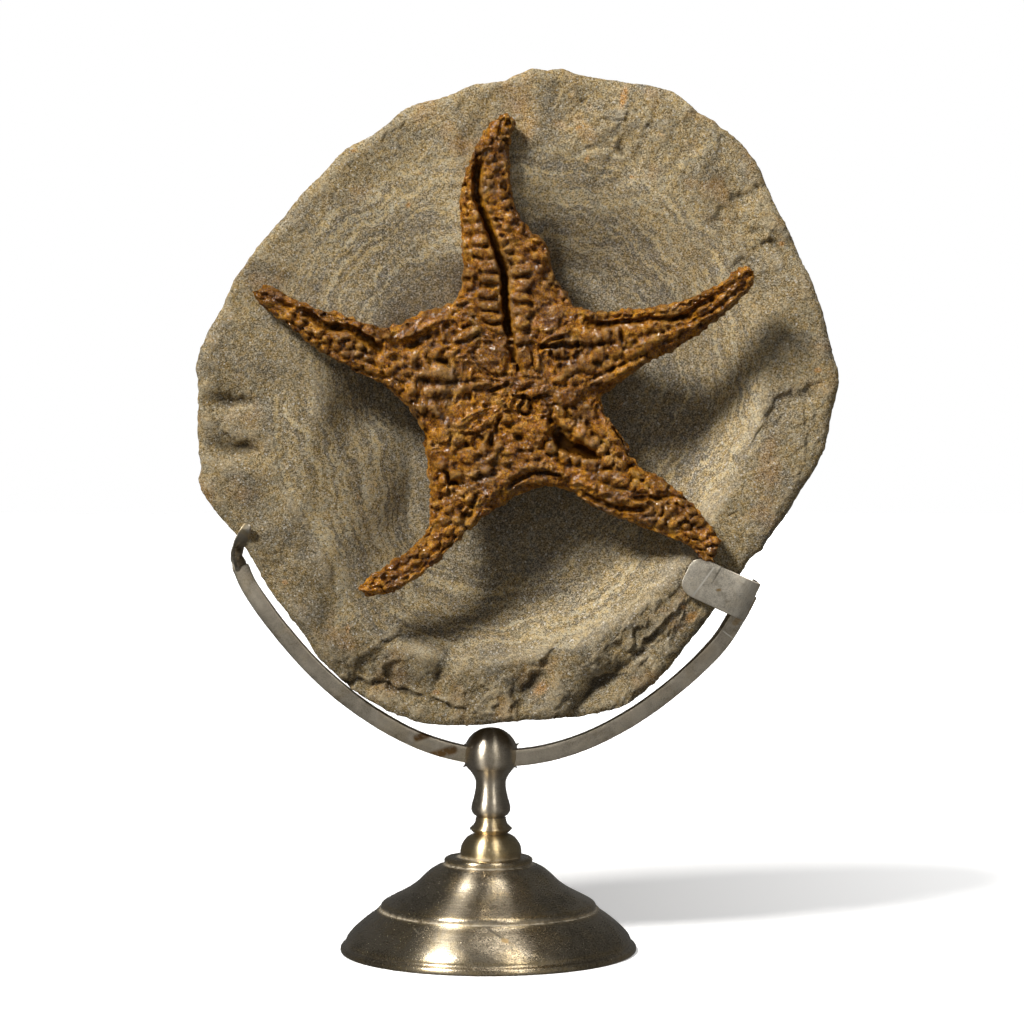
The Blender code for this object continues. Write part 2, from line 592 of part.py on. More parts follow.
def build_right_clip(material):
    """A strip with a rounded end: flat on the rim, bent back round the slab's edge."""
    along, up = clip_axes()
    face_y = RIM_PLANE_Y - CLIP_TOP_HEIGHT
    path = [(-CLIP_REACH, face_y, 0.22), (-CLIP_REACH + 0.7, face_y, 0.5),
            (-CLIP_REACH + 2.6, face_y, 0.8), (-CLIP_REACH + 5.4, face_y, 1.0),
            (-CLIP_BEND - 3, face_y, 1.0)]
    for k in range(7):
        angle = math.pi / 2 * k / 6
        path.append((-CLIP_BEND + CLIP_BEND * math.sin(angle),
                     face_y + CLIP_BEND * (1 - math.cos(angle)), 1.0))
    path.append((0.0, CLIP_BACK_Y, 1.0))
    flat = np.array([(p[0], p[1]) for p in path])
    step = np.gradient(flat, axis=0)
    step /= np.linalg.norm(step, axis=1)[:, None]
    inward = np.column_stack([-step[:, 1], step[:, 0]]) * CLIP_THICKNESS
    origin = np.array(CLIP_CORNER) - up * CLIP_WIDTH / 2
    centres, wide, deep = [], [], []
    for (a, y), (da, dy), (_, _, scale) in zip(flat, inward, path):
        middle = origin + along * (a + da / 2)
        centres.append(np.array([middle[0], y + dy / 2, middle[1]]))
        wide.append(np.array([up[0], 0, up[1]]) * CLIP_WIDTH / 2 * scale)
        deep.append(np.array([along[0] * da / 2, dy / 2, along[1] * da / 2]))
    return swept_bar("right_clip", centres, wide, deep, material)


def build_left_clip(material):
    """The finger: a bar bent forward round the slab's edge and up over its rim."""
    centres = smooth_line(FINGER_LINE, 12)
    step = np.gradient(centres, axis=0)
    step /= np.linalg.norm(step, axis=1)[:, None]
    wide, deep = [], []
    for s in step:
        across = np.cross(s, (0.85, 0.0, 0.53))
        across = np.cross(across, s)
        across /= np.linalg.norm(across)
        wide.append(across * FINGER_WIDTH / 2)
        deep.append(np.cross(across, s) * FINGER_THICKNESS / 2)
    taper = np.interp(np.arange(12), [0, 8, 10, 11], [1, 1, 0.85, 0.5])
    return swept_bar("left_clip", centres, wide, deep, material, taper)


def build():
    clear_scene()
    stone = make_material("siltstone", (0.23, 0.20, 0.15), 0.92, 0.0)
    fossil = make_material("fossil", (0.30, 0.13, 0.045), 0.6, 0.0)
    nickel = make_material("aged_nickel", (0.52, 0.48, 0.42), 0.34, 1.0)
    brass = make_material("brassy_nickel", (0.56, 0.46, 0.28), 0.32, 1.0)
    build_slab(stone)
    build_starfish(fossil)
    build_turned("stand_base", BASE_PROFILE, 0.0, BASE_SEGMENTS, nickel)
    build_turned("base_cap", CAP_PROFILE, STEM_X, POST_SEGMENTS, brass)
    build_turned("collar", COLLAR_PROFILE, STEM_X, POST_SEGMENTS, brass)
    build_post(nickel)
    build_strap(nickel)
    build_right_clip(nickel)
    build_left_clip(nickel)


build()
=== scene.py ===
"""Looks of the fossil starfish plate: rock, fossil, metal stand, studio light and camera.

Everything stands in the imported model's frame: +X right, +Y back, +Z up, metres. Shapes are
worked out in millimetres. On the slab, u runs right and v up from its centre, and a height is
measured toward the front from the plane of the slab's rim.
"""
import math

import bmesh
import bpy
import numpy as np
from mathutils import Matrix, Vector


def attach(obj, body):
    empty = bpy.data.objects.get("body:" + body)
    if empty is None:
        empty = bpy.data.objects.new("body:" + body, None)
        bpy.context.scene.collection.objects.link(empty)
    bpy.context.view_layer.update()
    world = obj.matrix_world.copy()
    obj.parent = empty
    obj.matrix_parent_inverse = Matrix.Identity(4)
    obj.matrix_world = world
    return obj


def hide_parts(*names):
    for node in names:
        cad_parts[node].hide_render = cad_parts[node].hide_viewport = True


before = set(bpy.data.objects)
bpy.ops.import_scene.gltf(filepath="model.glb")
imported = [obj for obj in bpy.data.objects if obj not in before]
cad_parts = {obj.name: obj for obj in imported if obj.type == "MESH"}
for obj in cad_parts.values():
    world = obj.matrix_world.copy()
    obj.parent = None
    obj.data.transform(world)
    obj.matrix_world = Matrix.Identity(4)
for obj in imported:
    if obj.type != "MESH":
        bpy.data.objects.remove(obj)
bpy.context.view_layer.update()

MM = 0.001
GAP = 0.35                      # between a piece and the next one, in millimetres
FAR = 1e9

# ---------------------------------------------------------------------------- named sizes
# Most are as in the solids. The dish's edge and walls and the arms' lifts are fitted closer to
# the photograph's shadows.
SLAB_CENTRE_X = 10.8
SLAB_CENTRE_Z = 202.8
RIM_PLANE_Y = -16.0
SLAB_BACK = -32.0
DISH_FLOOR = -15.2
PEDESTAL_RADIUS = 19.0
PEDESTAL_FOOT = 28.0
SEAT_RADIUS = 7.0
SEAT_FOOT = 13.0
BACK_BEVEL = 9.0
FINGER_SEAT = 1.8
# Tables by direction, in degrees from the right, counterclockwise as seen from the front.
SLAB_EDGE = [                   # how far the slab reaches
    (0, 116), (4, 117), (12, 115), (24, 114.5), (36, 116.5), (44, 121), (52, 123), (60, 123.2),
    (65, 123), (72, 119.8), (80, 119.0), (88, 119.2), (92, 114.2), (100, 113.2), (104, 111.6),
    (112, 111.8), (120, 108.6), (128, 109), (136, 107.8), (144, 107.6), (152, 109.8), (160, 111.8),
    (168, 115), (173, 117.4), (181, 116.8), (190, 118), (196, 120.6), (203, 116.6), (208, 115),
    (215, 114.8), (222, 115.4), (228, 117), (233, 120.6), (240, 123.4), (246, 124.6),
    (252, 124.9), (258, 123.4), (266, 119.8), (274, 118.6), (282, 119.6), (289, 120),
    (294, 117.4), (299, 114), (304, 110), (311, 107), (318, 104.4), (325, 103.6),
    (333, 105.4), (341, 108.6), (350, 113.2),
]
FRONT_EDGE = [                  # how far its front face reaches, every 2.5 degrees
    114.4, 115.7, 115.2, 114.2, 113.5, 113.5, 113.4, 113.2, 113.2, 113.0, 112.7, 113.0,
    113.6, 114.1, 114.6, 115.3, 116.7, 118.4, 119.9, 120.7, 121.2, 120.7, 120.8, 120.3,
    121.2, 122.3, 121.6, 121.0, 119.3, 118.3, 117.6, 117.4, 117.5, 118.2, 116.8, 117.2,
    115.4, 112.6, 112.6, 112.8, 111.7, 110.5, 110.2, 110.5, 110.7, 110.0, 108.3, 107.1,
    106.9, 107.4, 107.7, 107.4, 106.3, 105.8, 106.1, 106.2, 105.7, 105.8, 106.2, 106.8,
    107.5, 108.4, 108.8, 110.1, 110.1, 110.7, 111.7, 113.3, 114.7, 115.7, 116.2, 115.2,
    115.2, 115.3, 115.6, 116.2, 116.7, 116.9, 119.0, 118.6, 117.2, 115.6, 114.9, 113.6,
    113.3, 113.3, 113.2, 113.4, 113.6, 113.9, 114.6, 115.3, 116.8, 118.6, 119.8, 120.8,
    121.8, 122.3, 122.8, 123.1, 123.2, 123.2, 122.6, 121.9, 120.9, 119.8, 118.7, 118.0,
    117.3, 117.0, 117.0, 117.4, 117.8, 118.0, 118.2, 118.3, 117.9, 116.6, 115.1, 113.4,
    111.6, 109.6, 108.0, 106.9, 105.8, 104.8, 103.9, 103.0, 102.6, 102.3, 102.0, 103.7,
    103.5, 104.1, 105.1, 106.0, 106.4, 107.9, 109.6, 110.4, 112.0, 112.2, 112.6, 113.1,
]
DISH_EDGE = [                   # how far the dish reaches
    (0, 90), (15, 92), (30, 91), (60, 92), (90, 90), (120, 93), (150, 94), (175, 87), (200, 84),
    (208, 87), (217, 89), (229, 100), (240, 103), (250, 102), (270, 97), (300, 89), (330, 84),
]
# The dish's wall: how wide it is, how gentle, how far it starts beyond the edge, and how much of
# the dish's depth is missing at its foot.
WALL_WIDTH = [(0, 25), (15, 31), (30, 36), (60, 42), (90, 52), (120, 62), (150, 62), (164, 50),
              (175, 22), (188, 24), (199, 40), (210, 44), (240, 37), (256, 26), (270, 22),
              (300, 21), (330, 21)]
WALL_GENTLE = [(0, 0.0), (30, 0.1), (60, 0.5), (90, 1.0), (120, 1.0), (150, 1.0), (164, 1.0),
               (174, 0.2), (190, 0.2), (199, 0.8), (210, 0.8), (240, 0.4), (270, 0.1), (300, 0.0),
               (330, 0.0)]
WALL_OUTWARD = [(0, 0), (30, 0), (60, 2), (90, 5), (120, 8), (150, 8), (164, 4), (175, -13),
                (188, -11), (199, 0), (210, 2), (240, 1), (270, 0), (300, 0), (330, 0)]
SHALLOW = [(0, 0.0), (92, 0.0), (112, 0.42), (130, 0.5), (150, 0.48), (160, 0.30), (170, 0.0),
           (270, 0.0)]
# Swells and hollows of the rock: u, v, half length, half width, direction and lift.
SLAB_MARKS = [
    (-14, 100, 18, 5, 96, -2.2), (6, 103, 26, 11, 8, -2.4), (46, 96, 20, 9, -28, 1.8),
    (78, 70, 16, 6, -55, -2.2), (90, 55, 14, 5, -35, -2.0), (98, 18, 18, 9, -70, 1.6),
    (-104, -2, 9, 4, 0, -2.6), (-103, -19, 10, 4.5, -12, -3.0), (-97, 30, 14, 9, 50, 1.5),
    (-78, -48, 22, 9, -62, 1.8), (-45, -103, 20, 5, -14, -2.2), (-27, -98, 9, 5, 70, -2.0),
    (-33, -93, 12, 6, -30, 2.0), (5, -104, 9, 6, 40, -2.6), (29, -104, 19, 6, 42, -2.2),
    (47, -96, 15, 7, 45, 2.0), (75, -78, 14, 7, 55, -1.8),
]

MOUTH = (-1.1, 0.4)             # the starfish's middle, u and v
ARM_ROWS = 30                   # rows of the solid from the middle to an arm's tip
NOTCH_SHARE = 10 / ARM_ROWS
DISC_TOP = 6.5
DISC_BOTTOM = 6.0
ARM_BOTTOM = 4.4
TIP_TOP = 3.0
TIP_BOTTOM = 2.6
EDGE_ROUNDING = 6.5
NOTCHES = [(20.4, 32.7), (-23.7, 33.5), (-33.4, -21.1), (9.7, -33.0), (30.1, -0.3)]
# Each arm's right and left edge, groove and tip, u and v, and how far it stands off the plane of
# the rim halfway and at its tip.
ARMS = [
    {"right": [(13.6, 43.5), (10.4, 54.3), (3.2, 61.4), (-1.8, 72.5), (-2.4, 88.6), (-0.6, 97.5)],
     "left": [(-20.9, 38.8), (-20.5, 52.5), (-21.2, 72.1), (-17.3, 85.0), (-10.8, 97.1)],
     "groove": [(-2.2, 8.7), (-4.0, 30.9), (-5.4, 45.3), (-10.1, 59.2), (-13.3, 73.9),
                (-10.6, 88.5), (-6.0, 97.6)],
     "tip": (-4.3, 101.0), "rise": (2.3, 3.2)},
    {"right": [(-35.2, 30.2), (-46.7, 25.2), (-62.1, 29.1), (-76.4, 33.4), (-88.9, 39.8)],
     "left": [(-34.5, -12.2), (-44.2, 0.4), (-58.5, 8.7), (-71.1, 15.8), (-81.8, 24.4),
              (-91.8, 32.0)],
     "groove": [(-17.3, 11.2), (-35.2, 17.3), (-49.6, 18.0), (-62.1, 23.0), (-76.4, 29.8),
                (-88.2, 36.0)],
     "tip": (-95.0, 37.3), "rise": (2.6, 3.6)},
    {"right": [(-31.7, -37.3), (-33.8, -49.1), (-40.9, -55.8), (-49.4, -61.7), (-55.0, -65.6)],
     "left": [(0.7, -35.9), (-11.9, -43.7), (-20.8, -51.5), (-30.8, -61.1), (-40.8, -68.1),
              (-52.1, -71.3)],
     "groove": [(-6.5, -8.6), (-14.4, -17.5), (-21.5, -30.0), (-26.2, -43.6), (-35.1, -56.7),
                (-47.5, -65.6)],
     "tip": (-56.8, -68.8), "rise": (3.0, 12.0)},
    {"right": [(18.6, -34.1), (27.6, -40.5), (38.3, -44.7), (49.4, -49.4), (60.8, -54.0),
               (66.4, -59.3)],
     "left": [(31.2, -5.7), (36.9, -12.9), (42.3, -23.6), (55.1, -31.5), (65.1, -41.1),
              (72.5, -51.4)],
     "groove": [(9.7, -7.8), (19.3, -16.4), (30.8, -24.7), (43.6, -32.2), (56.1, -40.7),
                (66.8, -53.0)],
     "tip": (70.0, -59.6), "rise": (3.0, 6.0)},
    {"right": [(38.4, 5.4), (47.2, 12.2), (57.8, 17.2), (70.1, 26.1), (78.7, 33.8), (83.8, 40.1)],
     "left": [(31.2, 30.6), (43.6, 31.9), (56.3, 34.0), (68.9, 38.8), (79.2, 46.5)],
     "groove": [(10.7, 15.9), (25.7, 24.8), (41.7, 26.5), (55.8, 29.6), (68.1, 35.6),
                (79.2, 42.6)],
     "tip": (83.5, 44.4), "rise": (9.4, 17.4)},
]

STRAP_FACE = 6.2                # the bar's width, seen from the front
STRAP_THICKNESS = 4.4
STRAP_Y = -1.6
STRAP_LINE = [                  # x and z of its middle
    (-90.2, 140.6), (-86.2, 132.2), (-75.7, 117.6), (-61.2, 101.5), (-44.2, 87.8),
    (-24.9, 77.2), (-4.9, 71.8), (14.1, 71.5), (33.4, 76.3), (52.0, 85.6), (69.1, 98.1),
    (83.0, 111.6), (90.4, 122.7), (94.8, 131.0),
]
STEM_X = 0.9                    # the post, collar and cap stand a little off the base's axis
CLIP_WIDTH = 14.6
CLIP_THICKNESS = 1.3
CLIP_SLOPE = -24.8
CLIP_CORNER = (98.6, 134.9)
CLIP_REACH = 26.8
CLIP_BEND = 8.0
CLIP_TOP_HEIGHT = 2.5
CLIP_BACK_Y = 13.0
FINGER_LINE = [                 # x, y and z of the left clip's middle
    (-90.7, -3.0, 142.3), (-91.2, -6.0, 144.4), (-90.5, -11.0, 147.4), (-88.9, -15.7, 150.6),
    (-87.1, -18.6, 154.0), (-86.1, -19.8, 157.2),
]

# ------------------------------------------------------------------------------- camera
CAMERA_PLACE = (0.00863, -1.2, 0.2077)
CAMERA_TILT = 2.25              # degrees below the horizon
FOCAL_PIXELS = 3297.0
FRAME_PIXELS = 1024.0


def make_camera():
    """The photograph's camera."""
    lens = bpy.data.cameras.new("camera")
    lens.sensor_width = 36.0
    lens.lens = lens.sensor_width * FOCAL_PIXELS / FRAME_PIXELS
    lens.clip_start = 0.01
    lens.clip_end = 50.0
    camera = bpy.data.objects.new("camera", lens)
    camera.location = CAMERA_PLACE
    camera.rotation_euler = (math.radians(90.0 - CAMERA_TILT), 0.0, 0.0)
    bpy.context.scene.collection.objects.link(camera)
    bpy.context.scene.camera = camera


def seen(px, py, y=-20.0):
    """Where on the slab, u and v, a spot in the frame falls, at a depth y in millimetres."""
    tilt = math.radians(CAMERA_TILT)
    reach = -1000.0 * CAMERA_PLACE[1] + y
    drop = math.atan((py - FRAME_PIXELS / 2) / FOCAL_PIXELS) + tilt
    z = 1000.0 * CAMERA_PLACE[2] - reach * math.tan(drop)
    depth = reach * math.cos(tilt) + (1000.0 * CAMERA_PLACE[2] - z) * math.sin(tilt)
    x = 1000.0 * CAMERA_PLACE[0] + (px - FRAME_PIXELS / 2) * depth / FOCAL_PIXELS
    return x - SLAB_CENTRE_X, z - SLAB_CENTRE_Z


def on_slab(spots):
    """The same for a row of spots, as rows of u and v."""
    return np.array([seen(*spot) for spot in spots])


# -------------------------------------------------------------------------------- helpers
def smoothstep(low, high, value):
    """0 at low, 1 at high, with a smooth step between."""
    share = np.clip((value - low) / (high - low), 0.0, 1.0)
    return share * share * (3.0 - 2.0 * share)


def unit(rows):
    """Rows scaled to length 1."""
    rows = np.asarray(rows, dtype=float)
    return rows / np.linalg.norm(rows, axis=-1)[..., None]


def smooth_line(points, count):
    """Points at even spacing along a Catmull-Rom curve through the given points."""
    knots = np.array(points, dtype=float)
    padded = np.vstack([2 * knots[0] - knots[1], knots, 2 * knots[-1] - knots[-2]])
    steps = np.linspace(0.0, 1.0, 17)[:-1]
    dense = []
    for index in range(len(knots) - 1):
        a, b, c, d = padded[index:index + 4]
        for t in steps:
            bend = (2 * a - 5 * b + 4 * c - d) * t * t + (3 * b - a - 3 * c + d) * t ** 3
            dense.append(0.5 * (2 * b + (c - a) * t + bend))
    dense.append(knots[-1])
    dense = np.array(dense)
    run = np.concatenate([[0.0], np.cumsum(np.linalg.norm(np.diff(dense, axis=0), axis=1))])
    wanted = np.linspace(0.0, run[-1], count)
    return np.column_stack([np.interp(wanted, run, dense[:, axis])
                            for axis in range(dense.shape[1])])


def lattice_value(ix, iy, seed):
    """A number between -1 and 1 that belongs to a cell."""
    mixed = (ix * 374761393 + iy * 668265263 + seed * 1442695041) & 0xFFFFFFFF
    mixed = ((mixed ^ (mixed >> 13)) * 1274126177) & 0xFFFFFFFF
    return ((mixed ^ (mixed >> 16)) & 0xFFFF) / 32767.5 - 1.0


def lattice(u, v, size):
    """Places counted in cells, and the cells that they lie in."""
    x = np.asarray(u, dtype=float) / size
    y = np.asarray(v, dtype=float) / size
    return x, y, np.floor(x).astype(np.int64), np.floor(y).astype(np.int64)


def lumps(u, v, size, seed):
    """Smooth lumps between -1 and 1, about one size across."""
    x, y, ix, iy = lattice(u, v, size)
    fx = smoothstep(0.0, 1.0, x - ix)
    fy = smoothstep(0.0, 1.0, y - iy)
    low = lattice_value(ix, iy, seed) * (1 - fx) + lattice_value(ix + 1, iy, seed) * fx
    high = lattice_value(ix, iy + 1, seed) * (1 - fx) + lattice_value(ix + 1, iy + 1, seed) * fx
    return low * (1 - fy) + high * fy


def lumps3(p, size, seed):
    """The same in space: p holds points as rows."""
    q = np.asarray(p, dtype=float) / size
    cell = np.floor(q).astype(np.int64)
    part = smoothstep(0.0, 1.0, q - cell)
    total = 0.0
    for dz in (0, 1):
        layer = cell[:, 2] + dz
        row = 0.0
        for dx in (0, 1):
            for dy in (0, 1):
                weight = ((part[:, 0] if dx else 1 - part[:, 0])
                          * (part[:, 1] if dy else 1 - part[:, 1]))
                row = row + weight * lattice_value(cell[:, 0] + dx + 57 * layer,
                                                   cell[:, 1] + dy - 31 * layer, seed)
        total = total + row * (part[:, 2] if dz else 1 - part[:, 2])
    return total


def scattered(u, v, size, jitter, seed):
    """The nine cells round each place, and how far it is from the scattered middle of each."""
    x, y, ix, iy = lattice(u, v, size)
    for dx in (-1, 0, 1):
        for dy in (-1, 0, 1):
            jx, jy = ix + dx, iy + dy
            yield (jx, jy, x - (jx + 0.5 + jitter * lattice_value(jx, jy, seed)),
                   y - (jy + 0.5 + jitter * lattice_value(jx, jy, seed + 1)))


def pebbles(u, v, size, seed):
    """How far a place is from the middle of the nearest of many packed lumps, in their sizes."""
    return np.minimum.reduce([np.hypot(x, y) for _, _, x, y in scattered(u, v, size, 0.40, seed)])


def facets(u, v, size, seed):
    """Broken faces: flat flakes about one size across, each tilted its own way."""
    nearest, level = FAR, 0.0
    for jx, jy, x, y in scattered(u, v, size, 0.45, seed):
        gone = np.hypot(x, y)
        own = (0.6 * lattice_value(jx, jy, seed + 2) + 0.7 * lattice_value(jx, jy, seed + 3) * x
               + 0.7 * lattice_value(jx, jy, seed + 4) * y)
        level = np.where(gone < nearest, own, level)
        nearest = np.minimum(nearest, gone)
    return level


def oval(u, v, middle, length, width, turn):
    """Where places lie in a turned oval, in its half lengths and half widths."""
    c, s = math.cos(math.radians(turn)), math.sin(math.radians(turn))
    return (((u - middle[0]) * c + (v - middle[1]) * s) / length,
            ((v - middle[1]) * c - (u - middle[0]) * s) / width)


def parts_of_line(u, v, line):
    """Each straight part of a line: where it starts, its run, and how far places are from it."""
    for a, b in zip(line[:-1], line[1:]):
        run = b - a
        share = ((u - a[0]) * run[0] + (v - a[1]) * run[1]) / max(np.dot(run, run), 1e-9)
        share = np.clip(share, 0.0, 1.0)
        yield a, run, np.hypot(u - a[0] - share * run[0], v - a[1] - share * run[1])


def distance_to_line(u, v, line):
    """How far places are from a line."""
    best = FAR
    for _, _, gone in parts_of_line(u, v, line):
        best = np.minimum(best, gone)
    return best


def side_of_line(u, v, line):
    """Signed distance to a line: positive on its left, seen along it."""
    best, signed = FAR, 0.0
    for a, run, gone in parts_of_line(u, v, line):
        turn = np.sign(run[0] * (v - a[1]) - run[1] * (u - a[0]))
        nearer = gone < best
        best = np.where(nearer, gone, best)
        signed = np.where(nearer, gone * turn, signed)
    return signed


def from_ends(u, v, line):
    """How far places are from the nearer end of a line."""
    return np.minimum(*(np.hypot(u - end[0], v - end[1]) for end in (line[0], line[-1])))


def direction(u, v):
    """The direction of places from the slab's centre, in degrees."""
    return np.degrees(np.arctan2(v, u))


def from_centre(degrees, radius):
    """Places, u and v, at a direction and a distance from the slab's centre."""
    return np.cos(np.radians(degrees)) * radius, np.sin(np.radians(degrees)) * radius


def to_row(points):
    """Places on the slab (u, v, height) in the row frame, in millimetres."""
    points = np.asarray(points, dtype=float)
    return np.column_stack([SLAB_CENTRE_X + points[:, 0], RIM_PLANE_Y - points[:, 2],
                            SLAB_CENTRE_Z + points[:, 1]])


def quads_of(index):
    """Faces of a grid of points, from the numbers of its points."""
    corners = (index[:-1, :-1], index[1:, :-1], index[1:, 1:], index[:-1, 1:])
    return np.column_stack([corner.ravel() for corner in corners])


def by_direction(table, degrees):
    """A table's value at a direction."""
    angles = [row[0] for row in table] + [table[0][0] + 360]
    values = [row[1] for row in table] + [table[0][1]]
    return np.interp(np.mod(degrees, 360.0), angles, values)


def make_piece(name, points, faces, material, node, sharp_degrees=None, values=None):
    """A mesh piece from points in millimetres, which stands for a node of the solids.

    An edge sharper than sharp_degrees is shaded crisp. values are numbers a point that colour it.
    """
    mesh = bpy.data.meshes.new(name)
    mesh.from_pydata((np.asarray(points) * MM).tolist(), [], faces)
    shell = bmesh.new()
    shell.from_mesh(mesh)
    bmesh.ops.recalc_face_normals(shell, faces=shell.faces)
    shell.to_mesh(mesh)
    shell.free()
    mesh.shade_smooth()
    if sharp_degrees is not None:
        mesh.set_sharp_from_angle(angle=math.radians(sharp_degrees))
    for key, row in (values or {}).items():
        layer = mesh.attributes.new(key, "FLOAT", "POINT")
        layer.data.foreach_set("value", np.asarray(row, dtype=np.float32))
    mesh.materials.append(material)
    piece = bpy.data.objects.new(name, mesh)
    bpy.context.scene.collection.objects.link(piece)
    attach(piece, "root")
    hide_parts(node)
    return piece


# ---------------------------------------------------------------------- shader shorthand
class Nodes:
    """Shorthand for a node tree. A value is a number, a colour, a vector or a node's output."""

    def __init__(self, tree):
        self.tree = tree

    def put(self, socket, value):
        if isinstance(value, bpy.types.NodeSocket):
            self.tree.links.new(value, socket)
        elif isinstance(value, tuple) and len(value) == 3 and socket.type == "RGBA":
            socket.default_value = (*value, 1.0)
        else:
            socket.default_value = value

    def node(self, kind, *values, **settings):
        """A new node with its settings, and with values for its first inputs."""
        node = self.tree.nodes.new("ShaderNode" + kind)
        for name, setting in settings.items():
            setattr(node, name, setting)
        for socket, value in zip(node.inputs, values):
            self.put(socket, value)
        return node

    def fill(self, node, **values):
        """Values for a node's inputs by their names."""
        for name, value in values.items():
            self.put(node.inputs[name.replace("_", " ")], value)
        return node

    def span(self, value, low, high, out_low=0.0, out_high=1.0):
        """A smooth step of a value: out_low at low, out_high at high."""
        return self.node("MapRange", value, low, high, out_low, out_high,
                         interpolation_type="SMOOTHSTEP").outputs[0]


class Shade(Nodes):
    """One material's nodes."""

    def __init__(self, name):
        self.material = bpy.data.materials.new(name)
        self.material.use_nodes = True
        super().__init__(self.material.node_tree)
        self.shader = self.tree.nodes["Principled BSDF"]
        place = self.node("VectorMath", self.node("TexCoord").outputs["Object"], operation="SCALE")
        self.place = self.fill(place, Scale=1.0 / MM).outputs[0]    # in millimetres

    def set(self, **values):
        self.fill(self.shader, **values)

    def math(self, operation, a, b=0.0, clamp=False):
        return self.node("Math", a, b, operation=operation, use_clamp=clamp).outputs[0]

    def times(self, first, *others):
        for other in others:
            first = self.math("MULTIPLY", first, other)
        return first

    def plus(self, a, b):
        return self.math("ADD", a, b)

    def minus(self, a, b):
        return self.math("SUBTRACT", a, b)

    def weighted(self, *pairs):
        """The sum of values, each times its weight."""
        parts = [self.times(value, weight) for value, weight in pairs]
        total = parts.pop()
        while parts:
            total = self.plus(parts.pop(), total)
        return total

    def vector(self, operation, a, b=(0.0, 0.0, 0.0)):
        node = self.node("VectorMath", a, b, operation=operation)
        return node.outputs["Value" if operation in ("LENGTH", "DOT_PRODUCT") else "Vector"]

    def mix(self, share, a, b, blend="MIX"):
        node = self.node("Mix", share, data_type="RGBA", blend_type=blend)
        self.put(node.inputs[6], a)             # its two colours
        self.put(node.inputs[7], b)
        return node.outputs[2]

    def noise(self, scale, detail=2.0, rough=0.5, vector=None, warp=0.0):
        return self.fill(self.node("TexNoise"), Vector=vector or self.place, Scale=scale,
                         Detail=detail, Roughness=rough, Distortion=warp).outputs["Fac"]

    def cells(self, scale, output="Distance", vector=None):
        return self.fill(self.node("TexVoronoi"), Vector=vector or self.place,
                         Scale=scale).outputs[output]

    def ramp(self, value, stops):
        node = self.node("ValToRGB", value)
        line = node.color_ramp
        while len(line.elements) < len(stops):
            line.elements.new(0.5)
        for element, (where, colour) in zip(line.elements, stops):
            element.position = where
            element.color = (*colour, 1.0)
        return node.outputs[0]

    def value(self, name):
        """A mesh's own value at each spot."""
        return self.node("Attribute", attribute_name=name).outputs["Fac"]

    def axis(self, which, vector=None):
        return self.node("SeparateXYZ", vector or self.place).outputs[which]

    def join(self, x, y, z):
        return self.node("CombineXYZ", x, y, z).outputs[0]

    def moved(self, x, y, z):
        """Places shifted, in millimetres, so that a pattern is read from somewhere else."""
        return self.vector("ADD", self.place, (x, y, z))

    def bump(self, height, depth, strength):
        """Bump from a height between 0 and 1, with its depth in millimetres."""
        return self.fill(self.node("Bump"), Height=height, Distance=depth * MM,
                         Strength=strength).outputs[0]


# ------------------------------------------------------------------------- the slab's shape
GRID = 272                      # places across the slab's front
RIM_SHARE = 0.68                # how far out the finer rows begin,
RIM_ROWS = 0.45                 # and which share of the rows lies within them
SIDE_HEIGHTS = (-12.2 + 0.6, -17.2)     # between these the side is upright, at the strap
SHOULDER = -22.2                # where the side turns into the back's bevel
SIDE_RADIUS = 115.0             # about how far the side is from the centre
TIP_SWELLS = ((1.0, 26.0, 26.0), (0.9, 27.0, 13.0))     # level, reach to the right and left
OFF_DISH = -30.0                # the side's and back's distance inside the dish
HOLLOW_CELL = 0.6               # for hollows: the size of a cell and how far the grid reaches
HOLLOW_REACH = 132.0

